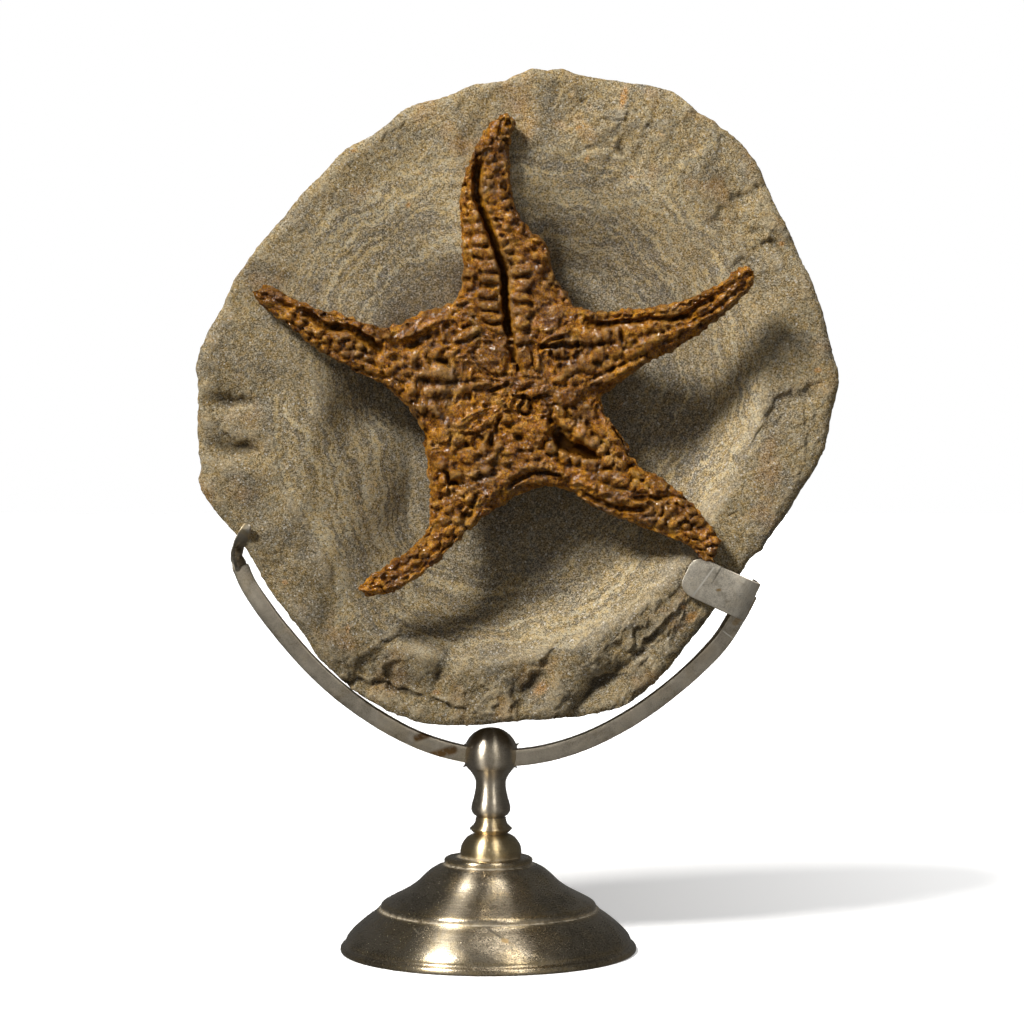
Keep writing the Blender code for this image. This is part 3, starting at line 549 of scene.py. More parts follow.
# Cracks and steps in the rock, as seen from the front: places in the frame, half width and depth
# of the crack, then how much lower the rock lies on the line's right, how wide the slope is and
# how far the lower ground reaches, all in millimetres.
CRACKS = [
    ([(464, 160), (458, 137), (461, 127), (460, 109), (463, 102), (466, 88)],
     0.4, 0.63, 0.98, 0.6, 11),
    ([(516, 74), (513, 88), (513, 104), (517, 112)], 0.5, 0.14, 0.83, 1.4, 12),
    ([(526, 130), (535, 125), (546, 122)], 0.5, 0.42, 0.38, 0.8, 4),
    ([(533, 152), (538, 145), (546, 137)], 0.6, 0.42, 0.3, 0.8, 4),
    ([(726, 202), (735, 194.5), (749, 193), (757, 186), (762, 179)], 0.40, 0.49, 0.95, 0.6, 8),
    ([(730, 217), (746, 216), (759, 209), (770, 198)], 0.4, 0.24, 0.50, 0.9, 7),
    ([(745, 255), (760, 243), (785, 237)], 0.45, 0.42, 0.98, 0.8, 8),
    ([(763, 423), (771, 410), (776, 400), (798, 390)], 0.5, 0.63, 0.98, 0.7, 8),
    ([(805, 460), (808, 450), (807, 430)], 0.4, 0.42, 0.68, 0.6, 8),
    ([(750, 534), (759, 535)], 0.6, 0.7, 0.45, 0.6, 4),
    ([(224, 405), (232, 401), (246, 400), (258, 402)], 0.7, 0.77, 0.38, 0.8, 4),
    ([(212, 431), (226, 436), (240, 441)], 0.55, 0.77, 0.45, 0.6, 5),
    ([(234, 441), (248, 446), (264, 452)], 2.1, 1.19, 0.3, 1.0, 5),
    ([(226, 375), (236, 373), (246, 373)], 0.6, 0.56, 0.22, 0.8, 4),
    ([(264, 481), (273, 483), (281, 485)], 0.5, 0.56, 0.38, 0.6, 4),
    ([(331, 672), (345, 681), (360, 680), (368, 684), (387, 682), (395, 689), (408, 692),
      (428, 698)], 0.5, 0.7, 1.95, 0.6, 15),
    ([(350, 671), (357, 657), (377, 645)], 0.6, 0.07, 1.2, 2.6, 14),
    ([(430, 688), (437, 680), (442, 665)], 0.6, 0.98, 0.68, 0.6, 8),
    ([(519, 698), (525, 687), (530, 678), (537, 669)], 0.6, 0.56, 1.5, 0.8, 10),
    ([(458, 726), (462, 715), (464, 702)], 0.6, 0.63, 0.75, 0.8, 7),
    ([(562, 714), (573, 705), (581, 692), (589, 682), (599, 672), (614, 665), (626, 659),
      (640, 646)], 0.6, 0.21, 2.1, 3.2, 24),
    ([(629, 624), (641, 612), (654, 604)], 0.5, 0.42, 0.75, 0.8, 8),
    ([(676, 655), (672, 640), (680, 622)], 0.6, 0.35, 0.75, 1.2, 9),
    ([(600, 170), (612, 150), (626, 128)], 0.6, 0.28, 0.68, 0.9, 7),
    ([(622, 168), (634, 150), (642, 134)], 0.6, 0.35, 0.68, 0.9, 7),
    ([(662, 140), (676, 122), (690, 112)], 0.6, 0.14, 0.6, 1.2, 7),
]
# Where the rock broke in flakes: place in the frame, reach in millimetres, how rough.
FLAKY = [
    (615, 155, 19, 1.3), (690, 150, 18, 0.8), (585, 110, 20, 0.6), (755, 240, 15, 0.8),
    (790, 430, 24, 0.5), (385, 680, 24, 1.0), (500, 700, 22, 0.9), (640, 665, 28, 1.0),
    (238, 420, 20, 0.4), (270, 560, 22, 0.45), (700, 600, 16, 0.9), (520, 100, 16, 0.6),
]
LEDGE = [(273, 400), (273, 430), (276, 464), (287, 491), (303, 516), (321, 548), (333, 580),
         (334, 612)]
TOOL_MARKS = [[(388, 588), (389, 617)], [(394, 590), (395, 616)], [(403, 588), (404, 615)],
              [(424, 640), (440, 637)], [(566, 530), (600, 520)]]
VEINS = [                       # pale seams in the rock and their half widths
    ([(209, 413), (222, 409), (250, 407), (272, 408)], 0.5),
    ([(664, 178), (692, 160), (724, 131)], 1.5),
    ([(406, 659), (427, 676), (440, 670)], 0.8), ([(811, 440), (809, 462), (818, 480)], 1.2),
    ([(600, 205), (640, 200), (668, 186)], 0.9), ([(474, 157), (500, 162), (540, 175)], 0.9),
]
# Rust: place in the frame, half length and half width, direction, strength.
RUST_SPOTS = [
    (624, 96, 4.2, 1.4, 78, 1.0), (408, 204, 1.0, 1.0, 0, 1.0), (783, 243, 1.2, 1.0, 0, 1.0),
    (819, 370, 1.5, 1.0, 0, 1.0), (692, 618, 3.6, 2.2, 30, 0.8), (684, 608, 1.6, 1.0, 0, 0.9),
    (541, 690, 4.6, 2.8, 40, 0.65), (436, 694, 1.6, 1.0, 0, 1.0), (347, 630, 1.4, 2.2, 0, 0.7),
    (284, 583, 1.1, 1.0, 0, 1.0), (353, 150, 1.8, 1.0, 20, 0.7), (579, 126, 1.6, 0.9, 20, 0.8),
    (587, 158, 1.8, 0.8, 70, 0.9), (662, 134, 2.2, 1.4, -30, 0.45), (632, 176, 1.2, 0.8, 0, 0.8),
    (688, 142, 3.2, 1.8, 20, 0.35), (229, 318, 1.4, 1.0, 0, 0.5), (372, 487, 4.0, 3.0, 0, 0.35),
    (357, 498, 1.0, 1.0, 0, 0.6), (420, 172, 0.8, 0.7, 0, 0.7), (705, 545, 2.0, 1.4, 0, 0.3),
    (755, 290, 3.0, 2.0, 0, 0.25), (510, 700, 4.0, 2.0, 0, 0.3),
    (622, 405, 4.0, 2.2, 70, 0.4), (650, 390, 2.2, 1.6, 0, 0.35), (735, 520, 2.4, 1.6, 30, 0.3),
]


def clip_axes():
    """The right clip's directions along its strip and across it, in x and z."""
    slope = math.radians(CLIP_SLOPE)
    return (np.array([math.cos(slope), math.sin(slope)]),
            np.array([-math.sin(slope), math.cos(slope)]))


def rim_seats():
    """Lines on the slab that something lies along, each with the height of the rock there."""
    seats = []
    for arm in ARMS:
        line = np.array([arm["groove"][-2], arm["tip"]])
        seats.append((line, min(arm["rise"][1] - TIP_BOTTOM - 4 * GAP, 0.4)))
    along, up = clip_axes()
    end = np.array(CLIP_CORNER) - up * CLIP_WIDTH / 2 - (SLAB_CENTRE_X, SLAB_CENTRE_Z)
    seats.append((np.array([end - along * CLIP_REACH, end]),
                  CLIP_TOP_HEIGHT - CLIP_THICKNESS - 2 * GAP))
    return seats


def rounded_table(table, degrees):
    """A table by direction with its corners rounded off."""
    turns = np.arange(0.0, 360.0, 1.0)
    row = by_direction(table, turns)
    window = np.hanning(21)
    window = window / window.sum()
    row = np.convolve(np.concatenate([row[-10:], row, row[:10]]), window, mode="valid")
    return np.interp(np.mod(degrees, 360.0), np.append(turns, 360.0), np.append(row, row[0]))


def bowl(u, v):
    """Share of the dish's depth: gentle on the upper left, steeper on the lower right."""
    degrees = direction(u, v)
    inside = rounded_table(DISH_EDGE, degrees) - np.hypot(u, v)
    inside = inside + rounded_table(WALL_OUTWARD, degrees)
    gentle = rounded_table(WALL_GENTLE, degrees)
    share = np.clip(inside / rounded_table(WALL_WIDTH, degrees), 0.0, 1.0)
    return gentle * share ** 1.9 + (1.0 - gentle) * smoothstep(0.0, 1.0, share)


def slab_height(u, v):
    """Height of the slab's front in its large shapes."""
    radius = np.hypot(u, v)
    degrees = direction(u, v)
    inside_dish = rounded_table(DISH_EDGE, degrees) - radius
    from_edge = by_direction(SLAB_EDGE, degrees) - radius
    height = 1.2 * lumps(u, v, 34.0, 3) + 1.0 * lumps(u, v, 13.0, 5)
    height = height * (1.0 - 0.75 * smoothstep(0.0, 12.0, inside_dish))
    height = height - 1.4 * (1.0 - smoothstep(0.0, 6.0, from_edge))
    for mu, mv, length, width, turn, lift in SLAB_MARKS:
        along, across = oval(u, v, (mu, mv), length, width, turn)
        height = height + lift * np.exp(-(along ** 2 + across ** 2) * 1.4)
    return height + DISH_FLOOR * bowl(u, v)


def flakes(u, v, rough):
    """Broken flakes, larger where the rock broke and none where it is worn smooth."""
    wu = u + 2.2 * lumps(u, v, 7.0, 51) + 0.8 * lumps(u, v, 2.4, 53)
    wv = v + 2.2 * lumps(u, v, 7.0, 52) + 0.8 * lumps(u, v, 2.4, 54)
    flaky = np.full(np.shape(u), 0.22)
    for px, py, reach, amount in FLAKY:
        mu, mv = seen(px, py)
        flaky = np.maximum(flaky, amount * np.exp(-((u - mu) ** 2 + (v - mv) ** 2) / reach ** 2))
    flaky = flaky * rough
    slant = 0.7 * wu + 0.7 * wv
    return flaky * (1.2 * facets(wu, wv, 12.0, 61) + 0.55 * facets(slant * 0.6, wv - wu, 5.5, 71)
                    + 0.28 * facets(wu, wv, 2.8, 73))


def cracked(height, u, v):
    """The rock with its cracks and steps."""
    wu = u + 0.9 * lumps(u, v, 3.4, 91) + 0.4 * lumps(u, v, 1.3, 93)
    wv = v + 0.9 * lumps(u, v, 3.4, 92) + 0.4 * lumps(u, v, 1.3, 94)
    for line, half, depth, drop, slope, reach in CRACKS:
        path = smooth_line(on_slab(line), 16)
        gone = side_of_line(wu, wv, path)
        fade = smoothstep(-0.5, 3.5, from_ends(u, v, path)) * (np.abs(gone) < 3 * reach)
        height = height - fade * depth * np.exp(-(gone / half) ** 2)
        fall = np.exp(-(np.maximum(-gone - slope, 0) / reach) ** 1.5)
        height = height - fade * drop * (smoothstep(0.0, slope, -gone) * fall)
    return height


def seated(height, u, v):
    """The rock raised toward the two upper arms' tips, and lowered under whatever lies on it."""
    for arm, (level, right_reach, left_reach) in zip(ARMS, TIP_SWELLS):
        line = np.array(arm["groove"][3:] + [arm["tip"]])
        gone = side_of_line(u, v, line)
        near = 1.0 - smoothstep(8.0, np.where(gone < 0, right_reach, left_reach), np.abs(gone))
        height = np.where(height < level, height + (level - height) * near * 0.85, height)
    for line, seat in rim_seats():
        on_seat = 1.0 - smoothstep(SEAT_RADIUS, SEAT_FOOT, distance_to_line(u, v, line))
        height = height * (1.0 - on_seat) + np.minimum(height, seat) * on_seat
    from_mouth = np.hypot(u - MOUTH[0], v - MOUTH[1])
    on_pedestal = 1.0 - smoothstep(PEDESTAL_RADIUS, PEDESTAL_FOOT, from_mouth)
    return height * (1.0 - on_pedestal) + (-DISC_BOTTOM - 0.1) * on_pedestal


def pale_at(u, v, ledge, wavy):
    """How pale a place is: a seam along the ledge, which widens downward, and the veins."""
    width = 0.9 + 2.6 * smoothstep(-25.0, -62.0, v)
    near = distance_to_line(u, v, ledge) < 4.0 * width
    pale = np.exp(-((wavy - 0.8 * width) / width) ** 2) * near * smoothstep(-0.6, 0.4, wavy)
    for mark, half in VEINS:
        gone = distance_to_line(u + 0.4 * lumps(u, v, 2.0, 98), v + 0.4 * lumps(u, v, 2.0, 99),
                                on_slab(mark))
        pale = np.maximum(pale, np.exp(-(gone / half) ** 2))
    return pale


def slab_front(u, v):
    """The slab's front with all its detail, and the values that colour it."""
    degrees = direction(u, v)
    radius = np.hypot(u, v)
    wobble = 2.4 * lumps(u, v, 17.0, 41) + 1.2 * lumps(u, v, 7.0, 42)
    contour = rounded_table(DISH_EDGE, degrees) - radius + wobble
    rough = 1.0 - 0.96 * smoothstep(-3.0, 3.5, contour)
    shallow = rounded_table(SHALLOW, degrees) * smoothstep(20.0, 40.0, radius)
    height = slab_height(u, v) - DISH_FLOOR * bowl(u, v) * shallow
    height = height + flakes(u, v, rough)
    height = height + rough * (0.20 * lumps(u, v, 5.3, 81) + 0.11 * lumps(u, v, 2.1, 82)
                               + 0.07 * lumps(u, v, 1.1, 86))
    height = height + 0.10 * lumps(u, v, 6.0, 83) + 0.04 * lumps(u, v, 2.1, 84)
    # worn laminations make low steps on the dish's wall
    on_wall = smoothstep(-2.0, 6.0, contour) * (1.0 - smoothstep(26.0, 44.0, contour))
    height = height + on_wall * 0.14 * lumps(contour, radius * 0.02, 3.4, 85)
    height = cracked(height, u, v)
    ledge = smooth_line(on_slab(LEDGE), 24)
    wavy = side_of_line(u, v, ledge) + 0.6 * lumps(u, v, 3.0, 96) + 0.3 * lumps(u, v, 1.3, 97)
    along = smoothstep(2.0, 16.0, from_ends(u, v, ledge))
    height = height + 0.55 * along * np.exp(-(wavy / 7.0) ** 2) * smoothstep(0.5, -0.5, wavy)
    for mark in TOOL_MARKS:
        gone = distance_to_line(u, v, on_slab(mark))
        height = height - 0.22 * np.exp(-(gone / 0.55) ** 2)
    return seated(height, u, v), contour, rough, pale_at(u, v, ledge, wavy)


def rust_at(u, v):
    """How rusty a place is, between 0 and 1."""
    rust = np.zeros(np.shape(u))
    for px, py, length, width, turn, strength in RUST_SPOTS:
        along, across = oval(u, v, seen(px, py), length, width, turn)
        rust = np.maximum(rust, strength * np.exp(-(along ** 2 + across ** 2)))
    return rust


def strap_clearance(degrees):
    """How far the bar's inner side is from the slab's centre."""
    line = smooth_line(STRAP_LINE, 120)
    step = unit(np.gradient(line, axis=0))
    inner = line + np.column_stack([-step[:, 1], step[:, 0]]) * STRAP_FACE / 2
    du, dv = inner[:, 0] - SLAB_CENTRE_X, inner[:, 1] - SLAB_CENTRE_Z
    around = np.mod(direction(du, dv), 360.0)
    return np.interp(np.mod(degrees, 360.0), around, np.hypot(du, dv), left=FAR, right=FAR)


def blurred(grid, reach):
    """A grid of heights, each the average of its neighbours."""
    padded = np.pad(grid, reach, mode="edge")
    for axis in (0, 1):
        total = np.cumsum(padded, axis=axis)
        total = np.insert(total, 0, 0.0, axis=axis)
        size = 2 * reach + 1
        ends = np.take(total, range(size, total.shape[axis]), axis=axis)
        starts = np.take(total, range(0, total.shape[axis] - size), axis=axis)
        padded = (ends - starts) / size
    return padded


def front_reach(degrees):
    """How far the front face reaches from the slab's centre."""
    turns = np.arange(len(FRONT_EDGE) + 1) * 360.0 / len(FRONT_EDGE)
    return np.interp(np.mod(degrees, 360.0), turns, FRONT_EDGE + FRONT_EDGE[:1])


def hollows(u, v):
    """How much lower or higher a place is than the rock around it."""
    cell, reach = HOLLOW_CELL, HOLLOW_REACH
    line = np.arange(-reach, reach + cell, cell)
    grid_u, grid_v = np.meshgrid(line, line, indexing="ij")
    height = slab_front(grid_u, grid_v)[0]
    # against 4 mm around it, and against 10 mm
    difference = height - blurred(height, 3) + 0.6 * (height - blurred(height, 8))
    x, y = (u + reach) / cell, (v + reach) / cell
    ix, iy = np.floor(x).astype(int), np.floor(y).astype(int)
    fx, fy = x - ix, y - iy
    return ((difference[ix, iy] * (1 - fx) + difference[ix + 1, iy] * fx) * (1 - fy)
            + (difference[ix, iy + 1] * (1 - fx) + difference[ix + 1, iy + 1] * fx) * fy)


def front_grid():
    """Directions and shares of the reach: a square grid of places drawn out to a disc."""
    spots = np.linspace(-1.0, 1.0, GRID)
    reach = np.abs(spots)
    # more rows on the broken rim than in the smooth dish
    reach = np.where(reach < RIM_ROWS, reach * RIM_SHARE / RIM_ROWS,
                     RIM_SHARE + (reach - RIM_ROWS) * (1.0 - RIM_SHARE) / (1.0 - RIM_ROWS))
    a, b = np.meshgrid(spots, spots, indexing="ij")
    wide = np.abs(a) > np.abs(b)
    safe_a, safe_b = np.where(a == 0, 1e-12, a), np.where(b == 0, 1e-12, b)
    turn = np.where(wide, math.pi / 4 * b / safe_a, math.pi / 2 - math.pi / 4 * a / safe_b)
    ring = np.interp(np.maximum(np.abs(a), np.abs(b)), spots[GRID // 2:], reach[GRID // 2:])
    share = ring * np.sign(np.where(wide, a, b))
    x, y = share * np.cos(turn), share * np.sin(turn)
    return direction(x, y), np.hypot(x, y)


def slab_outline(way):
    """The edge of the slab and of its front, its jags, and where the left clip needs room."""
    finger_x, _, finger_z = FINGER_LINE[2]
    finger_way = math.degrees(math.atan2(finger_z - SLAB_CENTRE_Z, finger_x - SLAB_CENTRE_X)) % 360
    turn = np.mod(way, 360.0)
    jag = (0.45 * np.abs(lumps(turn, turn * 0, 2.3, 22))
           + 0.3 * np.abs(lumps(turn, turn * 0, 0.8, 23)))
    under = np.exp(-((turn - finger_way) / 5.0) ** 2)
    return by_direction(SLAB_EDGE, turn), front_reach(turn), jag, under


def build_slab(material):
    """The front as a fine grid, then rings round the side and over the back."""
    degrees, share = front_grid()
    edge, seen_edge, jag, under = slab_outline(degrees)
    front = seen_edge + 0.25 - jag - FINGER_SEAT * under
    u = np.cos(np.radians(degrees)) * front * share
    v = np.sin(np.radians(degrees)) * front * share
    height, contour, rough, pale = slab_front(u, v)
    height = height - 0.5 * smoothstep(0.985, 1.0, share)
    count = GRID * GRID
    points = [np.column_stack([u.ravel(), v.ravel(), height.ravel()])]
    # cavity: how much lower or higher a place lies than around it; the look paints shade and
    # highlight from it
    values = {"contour": [contour.ravel()], "rough": [rough.ravel()], "pale": [pale.ravel()],
              "cavity": [hollows(u, v).ravel()], "rust": [rust_at(u, v).ravel()]}
    index = np.arange(count).reshape(GRID, GRID)
    faces = quads_of(index).tolist()

    last = np.concatenate([index[:-1, 0], index[-1, :-1], index[:0:-1, -1], index[0, :0:-1]])
    way = degrees.ravel()[last]
    rim_r, rim_h = (front * share).ravel()[last], height.ravel()[last]
    total = count

    def add_ring(radius, level, previous, joined=1):
        """One more ring of the side or back. joined: how many of the last ring's meet at one."""
        nonlocal total
        arc = np.radians(way) * SIDE_RADIUS
        points.append(np.column_stack([*from_centre(way, radius),
                                       np.broadcast_to(level, radius.shape)]))
        size = len(way)
        level = points[-1][:, 2]
        values["contour"].append(np.full(size, OFF_DISH))
        values["rough"].append(np.ones(size))
        values["pale"].append(np.zeros(size))
        # random flake values in place of cavity, from which the look paints shade and highlight
        values["cavity"].append(0.5 * facets(arc, level, 3.0, 77))
        values["rust"].append(0.3 * smoothstep(0.55, 0.9, lumps(arc, level, 14.0, 95)))
        fresh = np.arange(total, total + size)
        total += size
        after = np.roll(fresh, -1)
        if joined == 1:
            faces.extend(np.column_stack([previous, np.roll(previous, -1), after, fresh]).tolist())
        else:
            even, odd = previous[::2], previous[1::2]
            faces.extend(np.column_stack([even, odd, fresh]).tolist())
            faces.extend(np.column_stack([odd, np.roll(even, -1), after, fresh]).tolist())
        return fresh

    def around():
        """The slab's edge along the side, and how far the side may reach beside the bar."""
        edge, seen_edge, jag, under = slab_outline(way)
        arc = np.radians(way) * SIDE_RADIUS
        chip = lumps(np.mod(way, 360.0) / 9.0, way * 0.0, 1.0, 21)
        waist = np.minimum(seen_edge - 0.5 - under - 0.5 * jag, strap_clearance(way) - GAP)
        return edge, arc, chip, waist

    wall_front, wall_back = SIDE_HEIGHTS
    edge, arc, _, _ = around()
    # the broken side, from the rim backward
    for t in (0.06, 0.16, 0.3):
        level = rim_h + (wall_front - rim_h) * t
        radius = rim_r - 0.3 * t ** 0.5
        radius = radius - (0.25 + 0.35 * facets(arc, level, 3.0, 31)) * min(1.0, 8 * t)
        last = add_ring(np.minimum(radius, edge), level, last)
    # coarser from here on, and drawn in toward the bar
    way, rim_r, rim_h = way[::2], rim_r[::2], rim_h[::2]
    edge, arc, chip, waist = around()
    joined = 2
    for t in (0.46, 0.64, 0.82, 1.0):
        level = rim_h + (wall_front - rim_h) * t
        radius = rim_r + (waist - rim_r) * smoothstep(0.3, 1.0, t)
        radius = np.minimum(radius, edge) - (0.45 + 0.55 * facets(arc, level, 4.0, 31)) * (t < 1)
        last = add_ring(radius, level, last, joined)
        joined = 1
    # upright beside the bar
    for t in (0.33, 0.67, 1.0):
        last = add_ring(waist + 0 * way, wall_front + (wall_back - wall_front) * t, last)
    # out again behind it
    for t in (0.35, 0.7, 1.0):
        level = wall_back - 5.0 * t
        radius = waist + (edge - 0.4 - waist) * t - 0.5
        radius = radius - 0.5 * facets(arc, level + 0 * way, 4.5, 33)
        last = add_ring(np.minimum(radius, edge), level, last)
    # the back's bevel
    back = edge - BACK_BEVEL + 2.0 * chip
    for t in (0.25, 0.5, 0.75, 1.0):
        level = SHOULDER + (SLAB_BACK - SHOULDER) * t + 0.4 * chip * t
        radius = (edge - 0.9) + (back - edge + 0.9) * t ** 1.8 - 0.4
        radius = radius - 0.5 * facets(arc, level, 5.0, 35)
        last = add_ring(np.minimum(radius, edge), level, last)
    # the split back, to its middle
    for ratio in np.linspace(0.965, 0.05, 22):
        radius = back * ratio
        bu, bv = from_centre(way, radius)
        settled = smoothstep(0.05, 0.3, ratio)
        split = 1.7 * facets(bu, bv, 14.0, 37) + 0.6 * lumps(bu, bv, 6.0, 38)
        level = 1.4 * lumps(bu, bv, 30.0, 8) + split * settled
        level = np.maximum(SLAB_BACK + 1.2 + level, SLAB_BACK - 1.0)
        last = add_ring(radius, level, last)
    points.append(np.array([[0.0, 0.0, SLAB_BACK + 0.9]]))
    for key, rows in values.items():
        rows.append(np.array([{"contour": OFF_DISH, "rough": 1.0}.get(key, 0.0)]))
    faces.extend(np.column_stack([last, np.roll(last, -1), np.full(len(last), total)]).tolist())
    points = to_row(np.vstack(points))
    values = {key: np.concatenate(rows) for key, rows in values.items()}
    return make_piece("slab_rock", points, faces, material, "matrix_slab",
                      values=values)


def siltstone():
    """The rock: grains, layers shown by the dish, pale seams, iron stains and glints, with painted
    shade in its hollows and a painted highlight on its crests.
    """
    s = Shade("siltstone_look")
    rough, contour = s.value("rough"), s.value("contour")
    cavity, rust, pale = s.value("cavity"), s.value("rust"), s.value("pale")
    grains = s.axis(0, s.cells(2.9, output="Color"))
    fine = s.noise(1.5, 4.0, 0.70)
    patchy = s.noise(0.085, 5.0, 0.62, warp=0.4)
    mottle = s.noise(0.40, 4.0, 0.62)
    sand = s.weighted((grains, 0.3), (fine, 0.7))
    tone = s.weighted((fine, 0.54), (patchy, 0.25), (mottle, 0.22))
    rim = s.ramp(tone, [(0.34, (0.125, 0.090, 0.042)), (0.44, (0.245, 0.180, 0.084)),
                        (0.53, (0.365, 0.273, 0.132)), (0.62, (0.490, 0.380, 0.200)),
                        (0.74, (0.680, 0.570, 0.360))])
    floor = s.ramp(tone, [(0.34, (0.115, 0.089, 0.051)), (0.44, (0.172, 0.135, 0.078)),
                          (0.53, (0.232, 0.183, 0.105)), (0.63, (0.310, 0.250, 0.148)),
                          (0.76, (0.450, 0.375, 0.240))])
    colour = s.mix(s.span(contour, 18.0, 36.0), rim, floor)
    # blue-grey silt, thick in some patches
    where = s.noise(0.060, 4.0, 0.6, vector=s.moved(90.0, 0.0, 40.0))
    silt = s.plus(s.span(where, 0.44, 0.64, 0.0, 0.45), s.times(mottle, 0.2))
    colour = s.mix(silt, colour, s.mix(fine, (0.090, 0.081, 0.064), (0.235, 0.214, 0.172)))
    # the layers of the rock, cut by the dish like the lines of a map
    warp_far = s.times(s.minus(s.noise(0.10, 3.0, 0.5), 0.5), 9.0)
    warp_near = s.times(s.minus(s.noise(0.36, 4.0, 0.62), 0.5), 4.4)
    level = s.plus(contour, s.plus(warp_far, warp_near))
    slow = s.vector("MULTIPLY", s.place, (0.020, 0.020, 0.020))
    lines_at = s.join(s.times(level, 0.52), s.axis(0, slow), s.axis(2, slow))
    lines = s.plus(s.noise(1.0, 4.0, 0.66, vector=lines_at),
                   s.times(s.minus(sand, 0.5), 0.16))
    bright = s.span(lines, 0.505, 0.580)
    dark = s.span(lines, 0.490, 0.415)
    wall = s.times(s.span(contour, -7.0, 1.0), s.span(contour, 52.0, 26.0))
    here = s.span(s.noise(0.045, 2.0, 0.5), 0.30, 0.50, 0.45, 1.0)
    shown = s.times(s.plus(s.times(wall, 0.92), 0.08),
                   s.times(here, s.minus(1.0, s.times(rough, 0.8))))
    cream = s.mix(fine, (0.35, 0.275, 0.148), (0.68, 0.560, 0.340))
    slate = s.mix(fine, (0.080, 0.068, 0.048), (0.245, 0.210, 0.155))
    colour = s.mix(s.times(bright, shown, 0.88), colour, cream)
    colour = s.mix(s.times(dark, shown, 0.70), colour, slate)
    colour = s.mix(s.times(pale, 0.7), colour, cream)
    # warmer and cooler patches a few grains across
    hue = s.noise(0.50, 3.0, 0.64, vector=s.moved(12.0, 70.0, 33.0))
    hue = s.mix(s.span(hue, 0.36, 0.64), (1.08, 0.99, 0.79), (0.91, 1.0, 1.21))
    colour = s.mix(1.0, colour, hue, blend="MULTIPLY")
    # iron stains
    iron = s.times(s.span(s.noise(0.055, 3.0, 0.6), 0.54, 0.70), s.times(rough, 0.40))
    ragged = s.times(s.minus(sand, 0.5), 0.9)
    rusty = s.math("MAXIMUM", s.span(s.plus(rust, ragged), 0.22, 0.75), iron)
    orange = s.mix(sand, (0.30, 0.135, 0.030), (0.66, 0.34, 0.095))
    colour = s.mix(s.times(rusty, 0.85), colour, orange)
    # single grains, lighter and darker than the rest
    colour = s.mix(s.span(grains, 0.52, 1.0, 0.0, 0.46), colour, (0.66, 0.56, 0.41))
    colour = s.mix(s.span(grains, 0.50, 0.0, 0.0, 0.66), colour, (0.034, 0.022, 0.008))
    # paler toward the top, and a little toward the right
    height = s.minus(s.axis(2), SLAB_CENTRE_Z)
    worn = s.plus(s.times(height, 0.0022),
                  s.plus(s.times(s.axis(0), 0.0007), 1.04))
    colour = s.mix(1.0, colour, s.join(worn, worn, worn), blend="MULTIPLY")
    # painted shade in hollows: darker where the rock lies lower than the rock around it
    painted_hollow_shade = s.span(cavity, -0.25, -1.3)
    raised = s.span(cavity, 0.08, 0.6)
    colour = s.mix(s.times(painted_hollow_shade, 0.62), colour, (0.045, 0.036, 0.025))
    # painted highlight on crests: paler where the rock stands higher than the rock around it
    colour = s.mix(s.times(raised, 0.25), colour, (0.58, 0.48, 0.32))
    flake = s.axis(0, s.cells(1.9, output="Color", vector=s.moved(31.0, 17.0, 5.0)))
    glint = s.span(flake, 0.965, 0.985)
    colour = s.mix(s.times(glint, 0.38), colour, (0.75, 0.72, 0.66))
    s.set(Base_Color=colour, Roughness=s.minus(0.84, s.times(glint, 0.5)),
          Specular_IOR_Level=s.plus(s.times(glint, 0.4), 0.05))
    relief = s.weighted((grains, 0.24), (fine, 0.80))
    coarse = s.noise(0.85, 6.0, 0.70)
    depth = s.plus(relief, s.times(coarse, s.plus(s.times(rough, 3.0), 0.2)))
    s.set(Normal=s.bump(depth, 0.26, 0.9))
    return s.material


